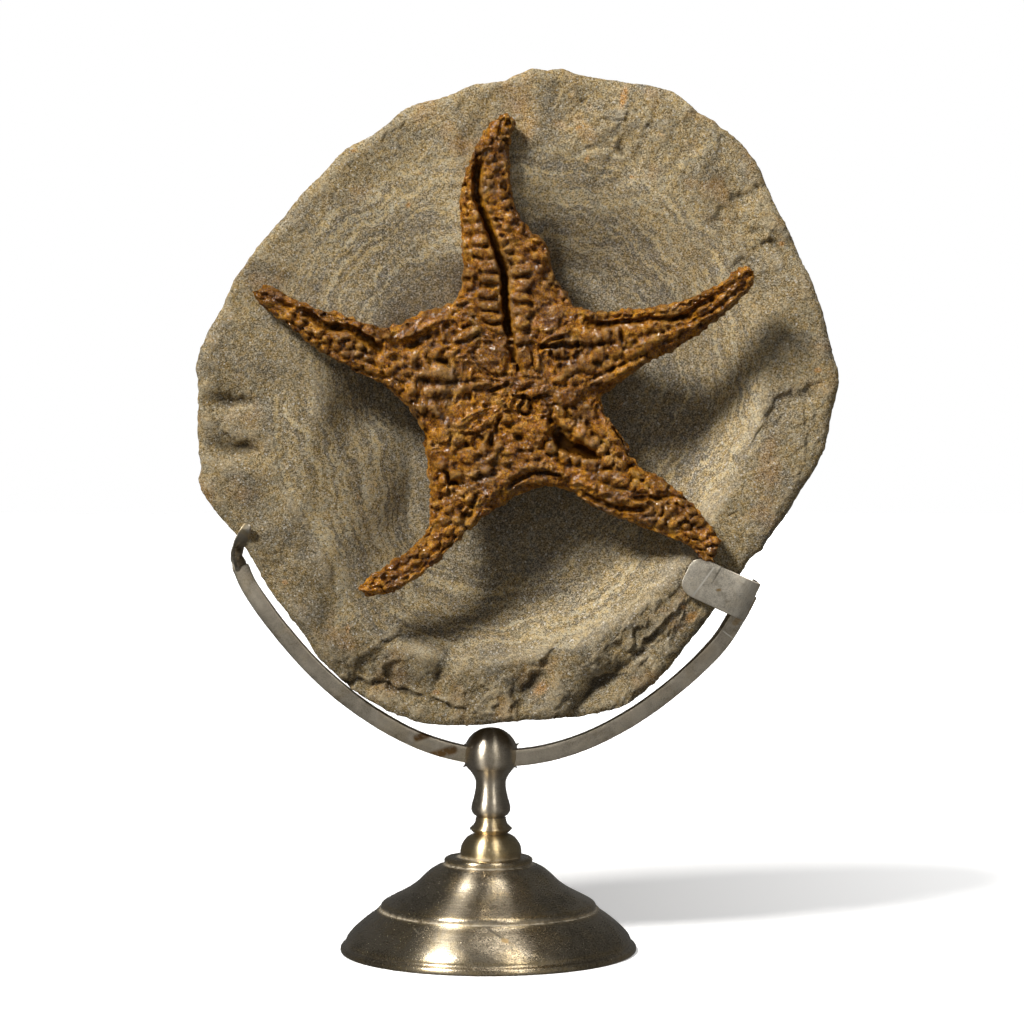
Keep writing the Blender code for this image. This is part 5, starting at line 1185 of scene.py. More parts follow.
# Ridges and, with a height below zero, grooves: middle line, half width, height.
RIDGES = [
    ([(-0.7, 53.5), (1.8, 50.3), (3.9, 46.4), (5.0, 41.4), (5.1, 37.2), (6.0, 30.7)], 0.5, 0.5),
    ([(-13.6, 84.8), (-14.6, 79.9), (-15.1, 74.9), (-14.3, 69.9), (-11.4, 62.8), (-8.9, 56.4),
      (-7.5, 51.4), (-5.0, 44.3), (-4.7, 37.2), (-4.2, 30.0), (-3.6, 24.3), (-2.5, 20.1)],
     1.3, -4.4),
    ([(-2.5, 18.6), (-2.0, 13.6), (-0.9, 9.3)], 1.1, -2.6),
    ([(-13.6, 27.9), (-10.0, 25.8), (-5.0, 26.5)], 0.6, -1.2),
    ([(-17.9, 30.0), (-13.6, 26.5), (-7.9, 20.8), (-13.6, 20.8)], 0.4, -0.6),
    ([(7.8, 51.4), (5.7, 52.5), (10.7, 52.5)], 0.7, -1.4),
    ([(7.8, 16.5), (11.4, 20.1), (17.8, 21.5)], 0.7, -1.5),
    ([(-35.0, 14.3), (-27.9, 12.9), (-20.7, 11.1), (-14.3, 9.7), (-7.9, 7.9)], 1.0, -1.6),
    ([(-27.2, 20.4), (-22.2, 24.3), (-16.5, 25.0)], 0.9, -0.9),
    ([(-46.5, 19.9), (-42.2, 20.1), (-38.6, 21.1), (-35.0, 22.2), (-31.5, 24.7), (-27.9, 26.8),
      (-24.3, 30.7), (-21.8, 34.3)], 1.9, 1.3),
    ([(-77.9, 30.4), (-73.6, 28.3), (-68.6, 24.7), (-60.7, 24.3), (-56.5, 21.8), (-52.9, 19.5),
      (-50.0, 16.5), (-49.3, 14.3)], 1.3, -3.8),
    ([(-48.2, 18.3), (-44.3, 18.5), (-40.0, 18.5), (-35.7, 20.4), (-30.7, 22.9), (-27.2, 24.7)],
     2.1, -2.6),
    ([(-85.0, 34.3), (-82.1, 31.8), (-77.9, 30.4)], 1.0, -1.2),
    ([(-37.2, 10.1), (-32.9, 11.1), (-27.9, 12.1), (-23.6, 10.9), (-20.0, 10.1), (-15.0, 9.0)],
     0.9, -2.0),
    ([(-27.9, 2.8), (-20.8, 4.4), (-13.6, 5.6), (-6.8, 4.2)], 2.1, 1.0),
    ([(-45.0, 6.5), (-40.8, 5.1), (-35.0, 5.1)], 0.6, -1.2),
    ([(-17.9, 18.6), (-15.7, 20.1), (-13.6, 22.2)], 0.4, -1.0),
    ([(-36.5, -1.7), (-33.3, -3.5), (-30.1, -5.3)], 1.3, 1.0),
    ([(-59.3, 9.3), (-53.6, 7.9), (-47.2, 6.1)], 0.6, -1.0),
    ([(-16.5, 15.1), (-12.2, 9.3), (-7.2, 6.1)], 0.6, -1.1),
    ([(12.5, -10.3), (14.6, -14.2), (17.1, -17.4), (20.7, -18.9), (24.3, -20.3), (28.9, -25.3)],
     2.1, -4.8),
    ([(28.9, -24.2), (29.7, -26.4), (33.6, -26.4), (39.3, -27.8), (40.8, -30.7), (43.6, -31.4),
      (47.2, -32.8)], 0.9, -2.6),
    ([(13.9, -27.5), (17.9, -29.3), (21.4, -30.8), (25.7, -32.5), (29.3, -33.8), (36.5, -36.8),
      (44.7, -38.4)], 1.7, 1.6),
    ([(24.3, -37.5), (29.3, -40.3), (35.1, -43.2), (43.6, -43.9)], 1.6, 1.0),
    ([(22.2, -34.4), (25.7, -36.4), (30.8, -38.4), (36.5, -40.0), (40.8, -40.9), (46.5, -40.1)],
     0.9, -1.9),
    ([(0.7, -26.7), (4.3, -25.5), (7.8, -25.0), (11.4, -25.7), (14.3, -26.7)], 1.4, 1.2),
    ([(0.7, -28.9), (5.0, -27.2), (8.6, -27.0), (13.6, -28.2), (15.0, -29.6)], 0.6, -1.6),
    ([(0.7, -32.8), (5.0, -30.7), (10.0, -30.7), (13.6, -31.8)], 1.4, 0.8),
    ([(32.9, -8.5), (35.7, -11.0), (37.9, -14.2), (40.0, -17.4), (42.5, -21.0)], 1.1, 1.0),
    ([(34.2, -11.5), (36.1, -14.1), (38.0, -17.2), (40.6, -21.0)], 0.4, -2.2),
    ([(12.8, -3.5), (11.4, -7.4), (12.5, -10.3)], 0.9, -2.0),
    ([(1.4, 2.6), (5.0, 3.3), (9.3, 2.6)], 0.5, -1.0),
    ([(3.5, -1.4), (7.1, -0.6), (10.0, 0.1)], 0.5, -1.1),
    ([(0.7, 0.1), (3.5, -0.6), (5.0, -4.9)], 0.6, -1.5),
    ([(40.8, -36.4), (46.5, -36.4), (50.8, -36.4), (55.1, -35.0)], 0.7, -1.4),
    ([(46.5, -47.9), (50.8, -42.9), (52.2, -39.3)], 0.4, -0.8),
    ([(23.5, 29.2), (30.0, 29.2), (40.0, 29.5), (49.2, 30.6), (57.8, 33.5), (67.1, 37.0),
      (75.6, 41.8), (82.2, 45.9)], 1.6, 0.9),
    ([(24.1, 26.3), (30.0, 25.6), (35.7, 26.0), (41.4, 27.0), (47.1, 27.7), (52.8, 27.3),
      (58.5, 28.6), (64.9, 32.7), (70.1, 35.8)], 0.85, -2.4),
    ([(54.2, 27.0), (58.5, 27.5), (62.8, 29.2)], 1.0, -2.6),
    ([(30.0, 4.2), (34.3, 7.6), (40.0, 10.4), (44.3, 12.2)], 1.3, 1.2),
    ([(26.1, 6.1), (30.0, 7.9), (34.3, 10.1), (38.6, 12.2)], 0.6, -1.8),
    ([(44.3, 11.1), (50.0, 13.3), (56.4, 16.5), (64.3, 20.8), (72.8, 25.8), (80.6, 34.3),
      (84.2, 40.0)], 1.9, -0.9),
    ([(61.4, 26.6), (67.1, 29.2), (72.1, 32.9), (76.4, 36.1)], 0.5, -0.9),
    ([(7.1, 17.6), (11.4, 17.9), (16.4, 18.1), (20.7, 17.9), (25.7, 18.6)], 0.8, -2.0),
    ([(11.4, 17.2), (12.0, 14.3)], 0.9, -2.4),
    ([(20.7, 19.7), (21.4, 17.2)], 0.6, -2.0),
    ([(36.0, 23.6), (36.8, 20.8), (37.1, 17.9)], 0.5, -1.6),
    ([(12.8, 13.6), (18.5, 13.3), (22.1, 15.8), (27.1, 17.9), (32.8, 19.0)], 0.6, -1.4),
    ([(-21.1, -30.7), (-24.4, -35.0), (-22.2, -38.6), (-20.1, -37.1)], 1.9, -3.8),
    ([(-9.0, -12.1), (-9.7, -15.7), (-9.2, -19.2)], 0.9, -2.6),
    ([(-14.3, -13.5), (-13.6, -15.3)], 1.0, -1.8),
    ([(-31.5, -20.7), (-31.9, -25.0), (-30.4, -29.3)], 1.4, -1.6),
    ([(15.0, -26.2), (7.8, -24.8), (1.4, -26.0), (-5.0, -30.7), (-11.5, -35.1)], 1.3, 1.3),
    ([(11.4, -30.7), (4.3, -31.0), (-1.5, -33.2)], 1.4, 0.9),
    ([(15.7, -28.4), (6.4, -27.7), (-0.7, -30.7), (-3.6, -33.5)], 0.5, -1.6),
    ([(-35.8, -2.4), (-32.2, -4.2), (-28.3, -6.4)], 1.0, 1.2),
    ([(-25.8, -54.0), (-31.5, -57.5), (-36.5, -60.8), (-45.9, -65.2), (-51.6, -68.3)], 0.7, -1.5),
    ([(-10.0, -36.4), (-15.8, -45.0), (-22.9, -53.6), (-31.5, -60.8), (-38.7, -65.8),
      (-47.3, -69.4)], 1.6, 0.7),
    ([(-14.3, -35.0), (-17.2, -40.0), (-20.1, -43.6)], 0.7, -1.4),
    ([(-36.5, 7.2), (-30.0, 5.1), (-22.9, 5.1), (-14.3, 5.8), (-5.7, 5.1)], 0.7, -1.3),
    ([(-6.5, -7.1), (-7.9, -10.7), (-7.2, -14.2)], 0.6, -1.6),
    ([(-10.7, 1.5), (-7.2, 2.6), (-2.9, 5.1)], 0.7, -1.7),
    ([(1.4, 1.5), (2.1, -1.4), (-0.0, -4.9), (4.3, -7.1)], 0.6, -1.6),
    ([(-20.8, -8.5), (-14.3, -5.3), (-8.6, -3.9)], 0.4, 0.6),
    ([(-25.8, -27.8), (-24.4, -30.7), (-20.1, -31.4)], 0.9, -2.0),
]

ARM_STEPS = 7                   # fine rows for each row of the solid
FINE_ACROSS = 34                # places from an arm's groove to its edge
BACK_ACROSS = 7                 # the same on the back
LINE_PLACES = 90                # places of a smooth line along an arm
KEYS_PER_MM = 500               # places that round to the same key are one
FRONT, BACK, BOTH = 1, 2, 0     # which face a place belongs to
MOUTH_INSET = 20.0              # how far the mouth is from the outline
DEEPEST = 5.2                   # how far the relief may go below the smooth front


def starfish_outline():
    """The line round all five arms."""
    outline = []
    for number, arm in enumerate(ARMS):
        right = smooth_line([NOTCHES[number]] + arm["right"] + [arm["tip"]], 60)
        left = smooth_line([NOTCHES[(number + 1) % 5]] + arm["left"] + [arm["tip"]], 60)
        outline += [right[:-1], left[:0:-1]]
    return np.vstack(outline + [outline[0][:1]])


def along_line(points, shares):
    """Places at shares of the length of a smooth line."""
    line = smooth_line(points, LINE_PLACES)
    at = shares * (LINE_PLACES - 1)
    return np.column_stack([np.interp(at, range(LINE_PLACES), line[:, axis]) for axis in (0, 1)])


def arm_edge(notch, points, tip, shares):
    """Places on an arm's edge at shares of its length, from the mouth past the notch to the tip."""
    inner = np.outer(np.clip(shares / NOTCH_SHARE, 0, 1), np.subtract(notch, MOUTH)) + MOUTH
    past = np.clip((shares - NOTCH_SHARE) / (1.0 - NOTCH_SHARE), 0, 1)
    outer = along_line([notch] + points + [tip], past)
    return np.where((shares > NOTCH_SHARE)[:, None], outer, inner)


def arm_grid(arm, notch_right, notch_left, shares, across):
    """Places between an arm's edges, by rows, and how wide the arm is at each row."""
    right = arm_edge(notch_right, arm["right"], arm["tip"], shares)
    left = arm_edge(notch_left, arm["left"], arm["tip"], shares)
    middle = along_line([MOUTH] + arm["groove"] + [arm["tip"]], shares)
    side = np.abs(across)[None, :, None]
    edge = np.where((across < 0)[None, :, None], right[:, None, :], left[:, None, :])
    return middle[:, None, :] * (1 - side) + edge * side, np.linalg.norm(left - right, axis=1)


def arm_rise(arm, shares):
    """How far an arm's middle stands off the plane of the rim."""
    halfway, tip = arm["rise"]
    return np.interp(shares, [0, NOTCH_SHARE, 0.66, 0.84, 1],
                     [0, 0, halfway, (halfway + tip) / 2 + 0.6, tip])


def sculpt(u, v):
    """Height of beads, plates, ridges and grooves on the starfish's front."""
    wu = u + 0.35 * lumps(u, v, 2.6, 101)
    wv = v + 0.35 * lumps(u, v, 2.6, 102)
    relief = np.zeros(len(u))
    for line, half, lift in RIDGES:
        path = smooth_line(line, 16)
        (low_u, low_v), (high_u, high_v) = path.min(axis=0) - 3 * half, path.max(axis=0) + 3 * half
        near = np.flatnonzero((u > low_u) & (u < high_u) & (v > low_v) & (v < high_v))
        gone = distance_to_line(wu[near], wv[near], path) / half
        if lift > 0:
            relief[near] = np.maximum(relief[near], lift * np.exp(-gone ** 2))
        else:
            ends = from_ends(u[near], v[near], path)
            relief[near] += (lift * np.exp(-gone ** 4)
                             * smoothstep(0.0, 3.5 * half, ends + 0.8 * half))
    beads, cover = np.zeros(len(u)), np.zeros(len(u))
    for mu, mv, length, width, turn, lift in BEADS:
        reach = 1.6 * max(length, width)
        near = np.flatnonzero((np.abs(u - mu) < reach) & (np.abs(v - mv) < reach))
        along, across = oval(wu[near], wv[near], (mu, mv), length, width, turn)
        gone = np.sqrt(along ** 2 + across ** 2)
        dome = np.sqrt(np.clip(1.0 - gone ** 2, 0.0, 1.0))
        beads[near] = np.maximum(beads[near], lift * dome)
        cover[near] = np.maximum(cover[near], 1.0 - smoothstep(0.8, 1.05, gone))
        moat = np.exp(-((gone - 1.2) / 0.22) ** 2)
        relief[near] -= 0.24 * lift * moat * (1.0 - cover[near])
    middle = pebbles(u + 0.9 * lumps(u, v, 4.0, 103), v + 0.9 * lumps(u, v, 4.0, 104), 1.9, 105)
    grain = np.sqrt(np.clip(1.0 - (middle / 0.8) ** 2, 0, 1)) - 0.6
    grainy = smoothstep(-0.25, 0.45, lumps(u, v, 9.0, 106))
    # a crust of crests and hollows, finer and finer
    crust = (0.60 * (0.5 - 2.0 * np.abs(lumps(wu, wv, 3.6, 107)))
             + 0.40 * (0.5 - 2.0 * np.abs(lumps(wu, wv, 1.9, 108)))
             + 0.30 * lumps(wu, wv, 1.1, 109) + 0.22 * lumps(u, v, 0.75, 110))
    swell = 0.7 * lumps(u, v, 11.0, 111) + 0.5 * lumps(u, v, 6.0, 112)
    bare = 1.0 - 0.5 * cover
    deep = smoothstep(-0.8, -2.8, relief)
    rest = (crust + 0.42 * grain * grainy) * bare * (1.0 - 0.4 * deep)
    return relief + swell + 1.02 * beads * (1 - 0.8 * deep) + rest, cover


def build_starfish(material):
    rows = ARM_ROWS * ARM_STEPS
    shares = np.arange(1, rows) / rows
    half = np.linspace(0.0, 1.0, FINE_ACROSS)
    half = 0.5 * half + 0.5 * np.sin(half * math.pi / 2)
    front_across = np.concatenate([-half[:0:-1], half])
    back_half = np.linspace(0.0, 1.0, BACK_ACROSS) ** 0.8
    back_across = np.concatenate([-back_half[:0:-1], back_half])
    outline = starfish_outline()
    spots, keys, quads, fans = [], [], [], []
    start = 0
    for number, arm in enumerate(ARMS):
        notch_right, notch_left = NOTCHES[number], NOTCHES[(number + 1) % 5]
        for face, across in ((FRONT, front_across), (BACK, back_across)):
            grid, span = arm_grid(arm, notch_right, notch_left, shares, across)
            u, v = grid[..., 0], grid[..., 1]
            s = shares[:, None] + 0 * u
            inset = distance_to_line(u, v, outline)
            middle = arm_rise(arm, s)
            reach = np.minimum(1.3 * EDGE_ROUNDING, 0.2 + span[:, None] * 0.44)
            rounding = np.clip(inset / reach, 0, 1)
            dome = np.sqrt(1 - (1 - rounding) ** 2)
            if face == FRONT:
                thick = np.interp(s, [0, 0.2, 0.6, 1], [DISC_TOP - 1, DISC_TOP - 0.2, 5.0, TIP_TOP])
                height = middle + thick * dome
            else:
                thick = np.interp(s, [0, NOTCH_SHARE, 0.6, 1],
                                  [DISC_BOTTOM, DISC_BOTTOM, ARM_BOTTOM, TIP_BOTTOM])
                height = middle - thick * dome
            on_edge = (np.abs(across)[None, :] == 1) & (s >= NOTCH_SHARE - 1e-6)
            height = np.where(on_edge, middle, height)
            kind = np.where(on_edge, BOTH, face)
            spots.append(np.column_stack([u.ravel(), v.ravel(), height.ravel(), inset.ravel()]))
            keys.append(np.column_stack([np.round(u.ravel() * KEYS_PER_MM),
                                         np.round(v.ravel() * KEYS_PER_MM),
                                         kind.ravel()]).astype(np.int64))
            index = start + np.arange(u.size).reshape(u.shape)
            start += u.size
            quads.append(quads_of(index))
            # a fan of faces closes each end
            mouth_level = DISC_TOP - 1.5 if face == FRONT else -DISC_BOTTOM
            for level, (x, y), row, key, inside in (
                    (mouth_level, MOUTH, index[0], face, MOUTH_INSET),
                    (arm["rise"][1], arm["tip"], index[-1], BOTH, 0.0)):
                spots.append(np.array([[x, y, level, inside]]))
                keys.append(np.array([[round(x * KEYS_PER_MM), round(y * KEYS_PER_MM), key]]))
                fans.append(np.column_stack([row[:-1], row[1:], np.full(len(row) - 1, start)]))
                start += 1
    spots, keys = np.vstack(spots), np.vstack(keys)
    _, first, back_to = np.unique(keys, axis=0, return_index=True, return_inverse=True)
    back_to = back_to.ravel()
    spots, kind = spots[first], keys[first][:, 2]
    quads = back_to[np.vstack(quads)]
    fans = back_to[np.vstack(fans)]
    u, v, inset = spots[:, 0], spots[:, 1], spots[:, 3]
    front = kind != BACK
    raised, cover = np.zeros(len(u)), np.zeros(len(u))
    raised[front], cover[front] = sculpt(u[front], v[front])
    edge_fade = smoothstep(0.0, 0.9, inset)
    heights = spots[:, 2] + raised * (0.25 + 0.75 * edge_fade)
    low = spots[:, 2] - np.where(front, DEEPEST, 0.0) * edge_fade
    heights = np.where(front, np.maximum(heights, low), heights)
    points = to_row(np.column_stack([u, v, heights]))

    # roughness that stands out from the surface, so the edges are ragged from every side
    first_edge, second_edge = quads.T.ravel(), np.roll(quads, -1, axis=1).T.ravel()
    around = np.zeros(len(u))
    np.add.at(around, first_edge, 1.0)
    np.add.at(around, second_edge, 1.0)

    def averaged(values, rounds):
        """Each value made the average of its neighbours', a number of times over."""
        for _ in range(rounds):
            total = np.zeros_like(values)
            np.add.at(total, first_edge, values[second_edge])
            np.add.at(total, second_edge, values[first_edge])
            values = np.where(around > 0, total / np.maximum(around, 1), values)
        return values

    facing = np.cross(points[quads[:, 2]] - points[quads[:, 0]],
                      points[quads[:, 3]] - points[quads[:, 1]])
    backward = (kind[quads] == BACK).any(axis=1)
    facing = np.where((facing[:, 1] > 0)[:, None] != backward[:, None], -facing, facing)
    normals = np.zeros_like(points)
    for corner in range(4):
        np.add.at(normals, quads[:, corner], facing)
    normals /= np.maximum(np.linalg.norm(normals, axis=1), 1e-9)[:, None]
    tooth = (0.50 * lumps3(points, 2.4, 121) + 0.34 * lumps3(points, 1.2, 122)
             + 0.16 * lumps3(points, 0.7, 123) - 0.30)
    points = points + normals * (tooth * (1.7 - 1.05 * edge_fade))[:, None]
    # cavity and hollow: how far a place stands above or below its neighbours, near and farther
    # round; the look paints shade in the hollows and a highlight on the crests from them
    outward = -points[:, 1]
    values = {"cavity": np.where(front, outward - averaged(outward, 6), 0.0),
              "hollow": np.where(front, outward - averaged(outward, 40), 0.0), "plate": cover}
    return make_piece("starfish_fossil", points, quads.tolist() + fans.tolist(), material,
                      "starfish", values=values)


def fossil():
    """The starfish: rust-brown, greyer on its plates, with painted shade in its pits and hollows, a
    painted highlight on its crests, and wet glints.
    """
    s = Shade("fossil_look")
    cavity, hollow, plate = (s.value(key) for key in ("cavity", "hollow", "plate"))
    big = s.noise(0.10, 4.0, 0.6, warp=0.5)
    patchy = s.noise(0.36, 5.0, 0.66)
    fine = s.noise(1.7, 5.0, 0.74)
    specks = s.axis(0, s.cells(2.6, output="Color"))
    tone = s.weighted((patchy, 0.50), (fine, 0.34), (specks, 0.16))
    colour = s.ramp(tone, [(0.34, (0.065, 0.017, 0.001)), (0.43, (0.170, 0.056, 0.002)),
                           (0.51, (0.320, 0.128, 0.006)), (0.59, (0.480, 0.220, 0.016)),
                           (0.70, (0.640, 0.350, 0.050))])
    dusty = s.ramp(tone, [(0.34, (0.075, 0.034, 0.008)), (0.45, (0.180, 0.095, 0.025)),
                          (0.57, (0.320, 0.190, 0.063)), (0.72, (0.520, 0.365, 0.170))])
    greyed = s.times(s.span(big, 0.48, 0.66), 0.60)
    greyed = s.math("MAXIMUM", greyed, s.times(plate, s.span(patchy, 0.46, 0.64, 0.0, 0.45)))
    colour = s.mix(greyed, colour, dusty)
    yellow = s.times(s.span(s.noise(0.16, 3.0, 0.6), 0.56, 0.70), 0.5)
    colour = s.mix(yellow, colour, s.mix(fine, (0.16, 0.090, 0.010), (0.42, 0.255, 0.050)))
    broad = s.noise(0.13, 3.0, 0.6, vector=s.moved(7.0, 3.0, 81.0))
    broad = s.mix(s.span(broad, 0.36, 0.64), (0.70, 0.61, 0.42), (1.50, 1.40, 0.92))
    colour = s.mix(1.0, colour, broad, blend="MULTIPLY")
    pores = s.span(s.noise(2.1, 2.0, 0.6), 0.44, 0.34, 0.0, 0.70)
    colour = s.mix(pores, colour, (0.030, 0.010, 0.000))
    # painted shade: near black in pits and broad hollows, which lie below their neighbours
    painted_crevice_shade = s.math("MAXIMUM", s.times(s.span(cavity, -0.10, -0.75), 0.72),
                    s.times(s.span(hollow, -0.5, -2.2), 0.88))
    colour = s.mix(painted_crevice_shade, colour, (0.026, 0.009, 0.001))
    # painted highlight: paler orange on crests that stand above their neighbours
    colour = s.mix(s.times(s.span(cavity, 0.15, 0.7), 0.30), colour, (0.60, 0.34, 0.11))
    open_air = s.minus(1.0, painted_crevice_shade)
    wet = s.span(s.noise(0.8, 4.0, 0.7), 0.42, 0.56)
    s.set(Base_Color=colour, Roughness=s.minus(0.62, s.times(wet, 0.34)),
          Specular_IOR_Level=s.times(open_air, 0.10), Coat_Weight=s.times(open_air, wet, 0.85),
          Coat_Roughness=0.16)
    relief = s.weighted((fine, 0.9), (s.noise(0.62, 6.0, 0.68), 1.6))
    s.set(Normal=s.bump(relief, 0.85, 0.95))
    # a wet skin lies over the grit more smoothly
    s.set(Coat_Normal=s.bump(s.noise(1.1, 2.0, 0.5), 0.40, 1.0))
    return s.material


# ------------------------------------------------------------------------- the metal stand
# Runs of the turned profiles, radius and height: each run is one smooth curve, and two runs
# meet at a crisp corner.
BASE_RUNS = [
    [(0.0, 0.0), (53.6, 0.0)],
    [(53.6, 0.0), (54.05, 0.5), (54.1, 1.4), (53.7, 2.3), (52.8, 2.6)],
    [(52.8, 2.6), (52.2, 3.1), (52.2, 4.1)],
    [(52.2, 4.1), (51.4, 5.7), (49.4, 8.0), (46.6, 10.5), (43.8, 12.7), (41.9, 14.0), (41.0, 14.8),
     (40.5, 15.4)],
    [(40.5, 15.4), (39.7, 15.3), (39.3, 15.7)],
    [(39.3, 15.7), (39.4, 16.7), (38.6, 17.8), (35.8, 19.4), (32.1, 21.3), (28.8, 23.2),
     (26.0, 25.3), (23.6, 27.6), (21.3, 29.6), (18.6, 31.2), (16.4, 31.8)],
    [(16.4, 31.8), (15.7, 32.0), (15.6, 32.4)],
    [(15.6, 32.4), (16.1, 32.8), (16.1, 33.7), (15.4, 34.3), (14.2, 34.5)],
    [(14.2, 34.5), (12.4, 34.45), (10.0, 34.5)],
    [(10.0, 34.5), (0.0, 34.5)],
]
CAP_RUNS = [
    [(0.0, 34.3), (11.0, 34.3)],
    [(11.0, 34.3), (11.2, 35.6), (11.15, 37.2), (10.6, 39.1), (9.0, 41.4), (7.4, 42.5),
     (6.3, 42.9)],
    [(6.3, 42.9), (0.0, 42.9)],
]
COLLAR_RUNS = [
    [(0.0, 42.7), (5.9, 42.7), (6.0, 43.1)],
    [(6.0, 43.1), (6.6, 43.6), (7.6, 44.6), (7.7, 45.0), (7.2, 45.5)],
    [(7.2, 45.5), (6.2, 46.5), (5.7, 47.6), (5.5, 48.9)],
    [(5.5, 48.9), (0.0, 49.0)],
]
POST_RUNS = [
    [(0.0, 48.7), (5.1, 48.7)],
    [(5.1, 48.7), (5.4, 49.4), (6.2, 50.0), (6.9, 51.0), (7.15, 52.2), (6.95, 53.9), (6.3, 56.1),
     (5.75, 58.6), (5.5, 60.4), (5.55, 62.2), (6.1, 63.8), (7.1, 65.4), (8.1, 66.6), (8.62, 67.1)],
    [(8.62, 67.1), (9.3, 68.3), (9.75, 69.8), (10.0, 71.8), (9.75, 74.2), (9.0, 76.4), (7.6, 78.5),
     (5.7, 80.2), (3.6, 81.3), (1.6, 81.75), (0.0, 81.8)],
]
UNEVEN = 0.05                   # how much turned surfaces wave
# Places of these profiles where dust lies, and edges where the plating is worn through.
BASE_DUST = [(39.6, 15.5), (15.8, 32.1), (10.9, 34.5)]
BASE_EDGES = [(40.6, 15.3), (16.2, 33.2), (54.1, 1.3), (52.2, 4.0), (15.2, 34.4), (38.6, 17.8)]


def turned_profile(runs, spacing):
    """The runs joined into one profile; corners stay crisp because runs share only their ends."""
    profile = []
    for run in runs:
        length = sum(math.dist(a, b) for a, b in zip(run[:-1], run[1:]))
        count = max(3, int(round(length / spacing)))
        line = smooth_line(run, count + 1) if len(run) > 2 else \
            np.linspace(run[0], run[1], 3 if length > 4 else 2)
        profile.extend(line.tolist() if not profile else line[1:].tolist())
    return np.array(profile)


def nearness(radius, height, spots, reach):
    """1 at the listed places of a profile, falling to 0 a reach away."""
    gone = np.minimum.reduce([np.hypot(radius - r, height - z) for r, z in spots])
    return np.exp(-(gone / reach) ** 2)


def turned_rings(runs, axis_x, segments, spacing):
    """A profile turned round an upright axis, a little uneven: points, faces, radii and heights."""
    profile = turned_profile(runs, spacing)
    turns = 2 * math.pi * np.arange(segments) / segments
    inner = profile[1:-1]
    radius = np.repeat(inner[:, 0], segments)
    height = np.repeat(inner[:, 1], segments)
    turn = np.tile(turns, len(inner))
    shape = np.column_stack([radius * np.cos(turn), radius * np.sin(turn), height])
    uneven = UNEVEN * lumps3(shape, 14.0, 131) + 0.4 * UNEVEN * lumps3(shape, 4.0, 132)
    radius = radius - np.abs(uneven)
    points = np.column_stack([axis_x + radius * np.cos(turn), radius * np.sin(turn), height])
    points = np.vstack([points, [(axis_x, 0.0, profile[0][1]), (axis_x, 0.0, profile[-1][1])]])
    index = np.arange(len(inner) * segments).reshape(len(inner), segments)
    after = np.roll(index, -1, axis=1)
    faces = np.column_stack([index[:-1].ravel(), after[:-1].ravel(), after[1:].ravel(),
                             index[1:].ravel()]).tolist()
    bottom, top = len(points) - 2, len(points) - 1
    faces += np.column_stack([after[0], index[0], np.full(segments, bottom)]).tolist()
    faces += np.column_stack([index[-1], after[-1], np.full(segments, top)]).tolist()
    radius = np.append(radius, [0.0, 0.0])
    return points, faces, radius, points[:, 2]


def build_turned(name, runs, axis_x, segments, spacing, material, node, extra=None):
    """A turned piece; extra holds the points and faces of something that sits on it."""
    points, faces, radius, height = turned_rings(runs, axis_x, segments, spacing)
    values = {"dust": nearness(radius, height, BASE_DUST, 0.75),
              "edge": nearness(radius, height, BASE_EDGES, 0.8)}
    if extra is not None:
        more_points, more_faces = extra
        faces += [tuple(i + len(points) for i in face) for face in more_faces]
        points = np.vstack([points, more_points])
        values = {key: np.append(row, np.zeros(len(more_points))) for key, row in values.items()}
    return make_piece(name, points, faces, material, node, values=values, sharp_degrees=38)


BURRS = [                       # x and z, direction and length
    (10.6, 75.7, 40, 1.6), (10.3, 67.3, -35, 1.3), (-8.9, 67.6, 215, 1.3), (-9.0, 75.9, 150, 0.7),
]
CORNER_STEPS = 4                # of a bar's rounded corners
BAR_ROUNDING = 0.55
BAR_INSET = 0.1                 # how much thinner than its solid the bar is
STRAP_LENGTH = 260.0            # about
TAB_ROUNDING = 0.32
TAB_END = 5.6                   # how long the right clip's rounded end is
FINGER_ROOT = (-90.35, -1.9, 140.0)
FINGER_FACING = (0.85, 0.0, 0.53)       # the way the left clip's broad side lies
# The left clip's width and depth, as shares of its length and millimetres.
FINGER_WIDTHS = [(0, 4.9), (0.14, 4.6), (0.3, 4.3), (0.5, 4.4), (0.75, 4.7), (0.92, 4.2),
                 (0.98, 3.0), (1, 1.4)]
FINGER_DEPTHS = [(0, 3.9), (0.2, 2.9), (0.6, 2.4), (0.92, 2.2), (1, 0.9)]


def burrs():
    """Small raised burrs that the saw left where the bar leaves the ball."""
    points, faces = [], []
    for x, z, way, length in BURRS:
        start = len(points)
        c, s = math.cos(math.radians(way)), math.sin(math.radians(way))
        root = np.array([x - 0.9 * c, 0.0, z - 0.9 * s])
        for t, wide in ((0.0, 1.2), (0.55, 0.7), (0.85, 0.35)):
            middle = root + np.array([c, 0.0, s]) * length * t
            for k in range(6):
                a = 2 * math.pi * k / 6
                points.append(middle + wide * 0.5 * np.array(
                    [-s * math.cos(a), 2.2 * math.sin(a) - 1.0, c * math.cos(a)]))
        points.append(root + np.array([c, -0.1, s]) * length)
        for ring in (0, 1):
            for k in range(6):
                j = (k + 1) % 6
                a, b = start + 6 * ring, start + 6 * (ring + 1)
                faces.append((a + k, a + j, b + j, b + k))
        for k in range(6):
            faces.append((start + 12 + k, start + 12 + (k + 1) % 6, start + 18))
        faces.append(tuple(start + k for k in range(5, -1, -1)))
    return np.array(points), faces


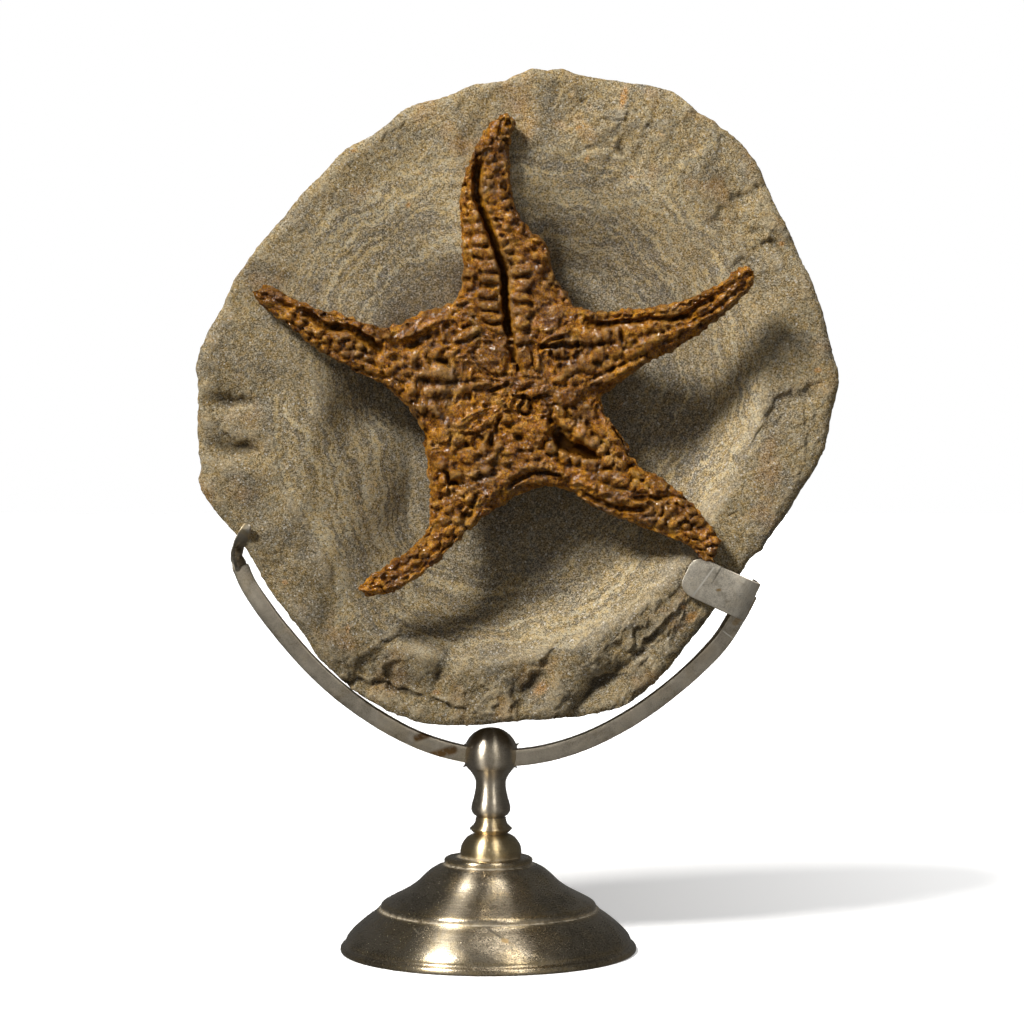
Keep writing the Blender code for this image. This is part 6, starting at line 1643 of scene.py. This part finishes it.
def rounded_section(width, depth, rounding):
    """The outline of a bar's section, as shares of its wide and deep directions."""
    outline = []
    for cx, cy, start in ((1, 1, 0), (-1, 1, 90), (-1, -1, 180), (1, -1, 270)):
        for k in range(CORNER_STEPS + 1):
            a = math.radians(start + 90 * k / CORNER_STEPS)
            outline.append((cx * (width / 2 - rounding) + rounding * math.cos(a),
                            cy * (depth / 2 - rounding) + rounding * math.sin(a)))
        nx, ny = {0: (-1, 1), 90: (-1, -1), 180: (1, -1), 270: (1, 1)}[start]
        for share in (1 / 3, 2 / 3):
            x0, y0 = outline[-1]
            x1 = nx * (width / 2 - rounding) if start in (0, 180) else x0
            y1 = ny * (depth / 2 - rounding) if start in (90, 270) else y0
            outline.append((x0 + (x1 - x0) * share, y0 + (y1 - y0) * share))
    return outline


def swept(centres, wide, deep, sections):
    """Skin along a line; sections gives the outline at each station."""
    points, faces = [], []
    count = len(sections[0])
    for centre, w, d, outline in zip(centres, wide, deep, sections):
        outline = np.asarray(outline)
        points.append(centre + outline[:, :1] * w + outline[:, 1:] * d)
    for k in range(len(sections) - 1):
        a, b = count * k, count * (k + 1)
        for i in range(count):
            j = (i + 1) % count
            faces.append((a + i, a + j, b + j, b + i))
    faces.append(tuple(range(count - 1, -1, -1)))
    last = count * (len(sections) - 1)
    faces.append(tuple(range(last, last + count)))
    return np.vstack(points), faces


def build_strap(material):
    """The bar, bent to a U and twisted a little at its ends."""
    count = 320
    line = smooth_line(STRAP_LINE, count)
    step = unit(np.gradient(line, axis=0))
    share = np.linspace(0.0, 1.0, count)
    centres = np.column_stack([line[:, 0], np.full(count, STRAP_Y), line[:, 1]])
    wide = np.column_stack([-step[:, 1], np.zeros(count), step[:, 0]])
    deep = np.tile([0.0, 1.0, 0.0], (count, 1))
    twist = -13.0 * smoothstep(0.80, 0.97, share) + 6.0 * smoothstep(0.10, 0.0, share)
    c, s = np.cos(np.radians(twist))[:, None], np.sin(np.radians(twist))[:, None]
    wide, deep = wide * c + deep * s, deep * c - wide * s
    run = share * STRAP_LENGTH
    sections = []
    for k in range(count):
        nick = 0.05 * lumps(run[k], 0.0, 7.0, 141) + 0.04 * lumps(run[k], 0.0, 2.2, 142)
        sections.append(rounded_section(STRAP_FACE - BAR_INSET + nick,
                                        STRAP_THICKNESS - BAR_INSET + nick, BAR_ROUNDING))
    centres[:, 1] += 0.12 * lumps(run, 0 * run, 30.0, 143)
    points, faces = swept(centres, wide, deep, sections)
    return make_piece("cradle_bar", points, faces, material, "cradle_strap",
                      sharp_degrees=50)


def build_right_clip(material):
    """A thin strip with a rounded end, lying on the rim and bent back round the edge."""
    along, up = clip_axes()
    face_y = RIM_PLANE_Y - CLIP_TOP_HEIGHT
    path = [(-CLIP_REACH + 0.02, face_y)]
    for t in np.linspace(0.0, 1.0, 36)[1:]:
        path.append((-CLIP_REACH + (CLIP_REACH - CLIP_BEND) * t, face_y))
    for k in range(1, 17):
        angle = math.pi / 2 * k / 16
        path.append((-CLIP_BEND + CLIP_BEND * math.sin(angle),
                     face_y + CLIP_BEND * (1 - math.cos(angle))))
    for t in np.linspace(0.0, 1.0, 20)[1:]:
        path.append((0.0, face_y + CLIP_BEND + (CLIP_BACK_Y - face_y - CLIP_BEND) * t))
    flat = np.array(path)
    run = np.concatenate([[0.0], np.cumsum(np.linalg.norm(np.diff(flat, axis=0), axis=1))])
    step = unit(np.gradient(flat, axis=0))
    inward = np.column_stack([-step[:, 1], step[:, 0]])
    origin = np.array(CLIP_CORNER) - up * CLIP_WIDTH / 2
    centres, wide, deep, sections = [], [], [], []
    for (a, y), (da, dy), gone in zip(flat, inward, run):
        middle = origin + along * (a + da * CLIP_THICKNESS / 2)
        centres.append((middle[0], y + dy * CLIP_THICKNESS / 2, middle[1]))
        wide.append((up[0], 0.0, up[1]))
        deep.append((along[0] * da, dy, along[1] * da))
        end = math.sqrt(max(0.0, 1 - (1 - min(gone / TAB_END, 1.0)) ** 2))
        scale = 0.46 + 0.54 * end if gone < TAB_END else 1.0
        width = CLIP_WIDTH * scale - 0.05
        sections.append(rounded_section(width, CLIP_THICKNESS - 0.04, TAB_ROUNDING))
    points, faces = swept(np.array(centres), np.array(wide), np.array(deep), sections)
    return make_piece("right_tab", points, faces, material, "right_clip",
                      sharp_degrees=50)


def build_left_clip(material):
    """A finger of bar, hammered round and twisted over the rim."""
    count = 70
    centres = smooth_line([FINGER_ROOT] + FINGER_LINE, count)
    step = unit(np.gradient(centres, axis=0))
    share = np.linspace(0.0, 1.0, count)
    wide, deep = [], []
    for s, t in zip(step, share):
        across = unit(np.cross(np.cross(s, FINGER_FACING), s))
        other = np.cross(across, s)
        turn = math.radians(-18 + 58 * smoothstep(0.15, 0.95, t))
        wide.append(across * math.cos(turn) + other * math.sin(turn))
        deep.append(other * math.cos(turn) - across * math.sin(turn))
    sections = []
    for t in share:
        width, depth = np.interp(t, *zip(*FINGER_WIDTHS)), np.interp(t, *zip(*FINGER_DEPTHS))
        dent = 0.16 * lumps(t * 20, 0.0, 2.6, 151)
        sections.append(rounded_section(width + dent, depth + 0.6 * dent, min(width, depth) * 0.36))
    points, faces = swept(centres, np.array(wide), np.array(deep), sections)
    points = points + 0.16 * np.column_stack([lumps3(points, 2.8, 152), lumps3(points, 2.8, 153),
                                              lumps3(points, 2.8, 154)])
    return make_piece("left_finger", points, faces, material, "left_clip",
                      sharp_degrees=60)


WORN_BRASS = (0.60, 0.455, 0.235)


def front_spot(px, py, y):
    """x and z, in millimetres, of a spot in the frame at a depth y."""
    u, v = seen(px, py, y)
    return u + SLAB_CENTRE_X, v + SLAB_CENTRE_Z


def stroke(s, start, end, depth, width):
    """1 on a thin line across the front of a piece, near its own depth, 0 away from it."""
    flat = s.vector("MULTIPLY", s.place, (1.0, 0.0, 1.0))
    a = np.array([start[0], 0.0, start[1]])
    side = np.array([end[0], 0.0, end[1]]) - a
    off = s.vector("SUBTRACT", flat, tuple(a))
    share = s.vector("DOT_PRODUCT", off, tuple(side / np.dot(side, side)))
    share = s.math("MULTIPLY", share, 1.0, clamp=True)
    close = s.vector("MULTIPLY", s.join(share, share, share), tuple(side))
    gone = s.vector("LENGTH", s.vector("SUBTRACT", off, close))
    behind = s.math("ABSOLUTE", s.minus(s.axis(1), depth))
    return s.times(s.span(gone, width, 0.35 * width), s.span(behind, 15.0, 8.0))


def nickel(name, turned, tint=(0.56, 0.50, 0.405), brassy=0.25, dull=0.0, satin=0.25, grain=0.30,
           marks=()):
    """Satin nickel worn through to brass: brushing, dark patina, scratches and dust."""
    s = Shade(name)
    brushed_along = (0.10, 0.10, 3.2) if turned else (0.35, 5.0, 0.35)
    brushed = s.noise(1.0, 4.0, 0.65, vector=s.vector("MULTIPLY", s.place, brushed_along))
    cloudy = s.noise(0.065, 4.0, 0.6, warp=0.6)
    mottle = s.noise(0.5, 5.0, 0.65)
    pits = s.span(s.cells(1.1), 0.16, 0.05)
    colour = s.mix(s.span(cloudy, 0.42, 0.68), tint, tuple(0.80 * c for c in tint))
    tinge = s.times(s.span(s.noise(0.11, 3.0, 0.6, warp=0.5), 0.47, 0.66), brassy)
    colour = s.mix(tinge, colour, WORN_BRASS)
    if turned:
        edge, dust = s.value("edge"), s.value("dust")
        colour = s.mix(s.times(edge, s.span(mottle, 0.35, 0.62, 0.15, 0.75)), colour, WORN_BRASS)
    stain = s.span(s.weighted((cloudy, 0.5), (mottle, 0.5)), 0.53, 0.66)
    stain = s.times(stain, 0.45 + dull)
    colour = s.mix(stain, colour, (0.245, 0.205, 0.15))
    colour = s.mix(s.times(pits, 0.7), colour, (0.10, 0.08, 0.055))
    grit = s.times(s.span(s.noise(1.9, 3.0, 0.75), 0.47, 0.60),
                   s.span(cloudy, 0.36, 0.60, 0.25, 1.0), grain)
    colour = s.mix(grit, colour, (0.13, 0.105, 0.068))
    worn = s.span(brushed, 0.35, 0.65)
    colour = s.mix(s.times(worn, 0.22), colour, (0.25, 0.205, 0.145))
    rough = s.plus(satin + 0.10 * dull, s.weighted((brushed, 0.16), (stain, 0.22)))
    rough = s.plus(rough, s.times(grit, 0.12))
    metal = s.minus(1.0, s.times(pits, 0.4))
    for start, end, depth, width, shade, share, shine in marks:
        on = stroke(s, start, end, depth, width)
        on = s.times(on, s.span(mottle, 0.30, 0.50, share * 0.45, share))
        colour = s.mix(on, colour, shade)
        metal = s.math("SUBTRACT", metal, s.times(on, 1.0 - shine), clamp=True)
        rough = s.plus(rough, s.times(on, 0.12))
    if turned:
        dusty = s.times(dust, s.span(mottle, 0.36, 0.60, 0.15, 1.0), 0.75)
        colour = s.mix(dusty, colour, (0.50, 0.45, 0.36))
        metal = s.times(metal, s.minus(1.0, dusty))
        rough = s.plus(rough, s.times(dusty, 0.4))
    specks = s.span(s.axis(0, s.cells(0.9, output="Color")), 0.975, 0.985)
    near_speck = s.span(s.cells(0.9), 0.22, 0.12)
    fleck = s.times(specks, near_speck, 0.7)
    colour = s.mix(fleck, colour, (0.62, 0.58, 0.50))
    s.set(Base_Color=colour, Metallic=metal, Roughness=rough, Anisotropic=0.90)
    if turned:
        s.set(Tangent=s.node("Tangent", direction_type="RADIAL", axis="Z").outputs[0],
              Anisotropic_Rotation=0.25)
    relief = s.plus(s.times(brushed, 0.5), s.minus(s.times(mottle, 0.8), pits))
    s.set(Normal=s.bump(relief, 0.08, 0.7))
    return s.material


# -------------------------------------------------------------------------- studio and floor
DAYLIGHT = (1.0, 0.985, 0.955)
WARM_LIGHT = (1.0, 0.97, 0.92)
WHITE = (1.0, 1.0, 1.0)
STRIP_TARGET = (0.0, 0.0, 0.06)
STRIP_DISTANCE = 0.9
STRIPS = [                      # azimuth, elevation, width, height and watts
    ("left_strip", -40.0, 33.0, 0.18, 1.05, 1.9),
    ("right_strip", 24.0, 33.0, 0.15, 1.05, 2.0),
    ("high_strip", 46.0, 76.0, 0.14, 0.70, 1.8),
]
FLOOR_HALF = 4.0
FLOOR_GLOW = (0.02, 0.34, 0.32, 1.0)    # between these x, in metres, from one glow to the other


def studio_world():
    """White for the camera, dim for lighting, and for mirrors brighter from the camera's side."""
    world = bpy.data.worlds.new("studio")
    world.use_nodes = True
    world.node_tree.nodes.clear()
    s = Nodes(world.node_tree)

    def light(colour, strength):
        return s.node("Background", colour, strength).outputs[0]

    path = s.node("LightPath").outputs
    toward = s.node("VectorMath", s.node("TexCoord").outputs["Generated"], (0.0, -1.0, 0.0),
                    operation="DOT_PRODUCT").outputs["Value"]
    mirrored = light(DAYLIGHT, s.span(toward, 0.10, 1.0, 0.105, 0.34))
    ambient = light((1.0, 0.985, 0.96), 0.22)
    surround = s.node("MixShader", path["Is Glossy Ray"], ambient, mirrored).outputs[0]
    surround = s.node("MixShader", path["Is Camera Ray"], surround, light(WHITE, 1.0)).outputs[0]
    s.node("OutputWorld", surround)
    bpy.context.scene.world = world


def lamp_along(name, kind, energy, colour, travel):
    """A lamp whose light travels along a direction."""
    lamp = bpy.data.objects.new(name, bpy.data.lights.new(name, kind))
    lamp.data.energy = energy
    lamp.data.color = colour
    lamp.rotation_euler = Vector(travel).to_track_quat("-Z", "Y").to_euler()
    bpy.context.scene.collection.objects.link(lamp)
    return lamp


def sunlight(name, strength, degrees, travel, floor, only_floor):
    """A sun for the floor alone, or for everything but the floor."""
    lamp = lamp_along(name, "SUN", strength, DAYLIGHT, travel)
    lamp.data.angle = math.radians(degrees)
    lit = bpy.data.collections.new(name + "_lights")
    lit.objects.link(floor)
    lamp.light_linking.receiver_collection = lit
    lit.collection_objects[0].light_linking.link_state = "INCLUDE" if only_floor else "EXCLUDE"
    return lamp


def strip_light(name, azimuth, elevation, width, height, watts):
    """A softbox for glossy surfaces alone. Azimuth runs from the camera's side to the right."""
    a, e = math.radians(azimuth), math.radians(elevation)
    away = Vector((math.sin(a) * math.cos(e), -math.cos(a) * math.cos(e), math.sin(e)))
    lamp = lamp_along(name, "AREA", watts, WARM_LIGHT, -away)
    lamp.data.shape = "RECTANGLE"
    lamp.data.size, lamp.data.size_y = width, height
    lamp.location = Vector(STRIP_TARGET) + away * STRIP_DISTANCE
    lamp.visible_diffuse = False


def studio_lights(floor):
    sunlight("key", 4.7, 13.0, (0.55, 0.50, -0.68), floor, False)
    sunlight("floor_key", 4.6, 16.0, (0.40, 0.57, -0.72), floor, True)
    # a weak one from behind, so that the back is seen too
    back_fill = sunlight("back_fill", 1.3, 30.0, (-0.45, -0.75, -0.48), floor, False)
    back_fill.visible_glossy = False
    for strip in STRIPS:
        strip_light(*strip)


def studio_floor():
    """A pale floor with a glow of its own, which the object doesn't mirror and isn't lit by."""
    s = Shade("pale_floor")
    x = s.axis(0, s.node("TexCoord").outputs["Object"])
    s.set(Base_Color=(0.9, 0.9, 0.9), Roughness=0.9, Specular_IOR_Level=0.0, Emission_Color=WHITE,
          Emission_Strength=s.node("MapRange", x, *FLOOR_GLOW).outputs[0])
    signs = ((-1, -1), (1, -1), (1, 1), (-1, 1))
    corners = [(right * FLOOR_HALF, back * FLOOR_HALF, 0.0) for right, back in signs]
    mesh = bpy.data.meshes.new("floor")
    mesh.from_pydata(corners, [], [(0, 1, 2, 3)])
    mesh.materials.append(s.material)
    floor = bpy.data.objects.new("floor", mesh)
    floor.visible_diffuse = False
    floor.visible_glossy = False
    bpy.context.scene.collection.objects.link(floor)
    return floor


# ------------------------------------------------------------------------------- the object
def frame_mark(start, end, y, width, shade, share, shine):
    """A scratch or worn streak between two spots in the frame, at a depth y.

    share tells how much of it shows, and shine how metallic it is left.
    """
    return front_spot(*start, y), front_spot(*end, y), y, width, shade, share, shine


PALE_METAL = (0.86, 0.82, 0.74)
BRONZE = (0.40, 0.27, 0.12)
DARK = (0.05, 0.04, 0.028)
RUSTY = (0.17, 0.095, 0.032)

BASE_MARKS = [
    frame_mark((578, 886), (604, 926), -34, 4.4, (0.17, 0.155, 0.13), 0.75, 0.5),
    frame_mark((386, 900), (372, 922), -40, 2.6, (0.17, 0.145, 0.11), 0.6, 0.6),
    frame_mark((395, 921), (418, 938), -46, 0.35, DARK, 0.8, 0.3),
    frame_mark((485, 930), (505, 941), -47, 0.45, DARK, 0.7, 0.3),
    frame_mark((399, 935), (402, 936), -46, 0.9, BRONZE, 0.9, 0.9),
    frame_mark((503, 941), (507, 942), -47, 0.9, BRONZE, 0.9, 0.9),
    frame_mark((535, 890), (560, 904), -38, 0.5, PALE_METAL, 0.45, 1.0),
    frame_mark((575, 884), (592, 924), -40, 0.6, PALE_METAL, 0.55, 1.0),
    frame_mark((440, 905), (470, 914), -42, 0.3, DARK, 0.5, 0.4),
]
STRAP_MARKS = [
    frame_mark((723, 631), (735, 640), -4, 0.35, PALE_METAL, 0.9, 1.0),
    frame_mark((704, 640), (721, 629), -4, 0.55, PALE_METAL, 0.7, 1.0),
    frame_mark((417, 738), (432, 733), -4, 1.9, RUSTY, 1.0, 0.6),
    frame_mark((432, 756), (453, 750), -4, 2.3, RUSTY, 1.0, 0.6),
    frame_mark((735, 623), (757, 601), -4, 1.6, BRONZE, 0.55, 1.0),
    frame_mark((262, 640), (289, 673), -4, 0.5, DARK, 0.5, 0.6),
]
TAB_MARKS = [
    frame_mark((713.6, 568), (693, 596), -18.5, 0.45, PALE_METAL, 1.0, 1.0),
    frame_mark((717.5, 590), (720, 590), -18.5, 0.7, BRONZE, 0.9, 1.0),
    frame_mark((722, 566), (712, 583), -18.5, 0.4, DARK, 0.5, 0.5),
]

build_slab(siltstone())
build_starfish(fossil())
build_turned("turned_base", BASE_RUNS, 0.0, 320, 0.42,
             nickel("base_metal", True, tint=(0.55, 0.475, 0.355), brassy=0.42, satin=0.17,
                    grain=0.95, marks=BASE_MARKS), "stand_base")
build_turned("turned_cap", CAP_RUNS, STEM_X, 160, 0.3,
             nickel("cap_metal", True, tint=(0.60, 0.48, 0.28), brassy=0.9), "base_cap")
build_turned("turned_collar", COLLAR_RUNS, STEM_X, 128, 0.22,
             nickel("collar_metal", True, tint=(0.58, 0.48, 0.33), brassy=0.7, dull=0.4), "collar")
build_turned("turned_post", POST_RUNS, STEM_X, 200, 0.3, nickel("post_metal", True, brassy=0.15),
             "post", extra=burrs())
build_strap(nickel("bar_metal", False, tint=(0.62, 0.555, 0.45), satin=0.36, marks=STRAP_MARKS))
build_right_clip(nickel("tab_metal", False, tint=(0.92, 0.85, 0.72), brassy=0.25, satin=0.40,
                        marks=TAB_MARKS))
build_left_clip(nickel("finger_metal", False, tint=(0.42, 0.38, 0.31), brassy=0.8, dull=1.0))

bpy.context.scene.view_settings.view_transform = "Standard"
bpy.context.scene.view_settings.look = "None"
studio_world()
studio_lights(studio_floor())
make_camera()
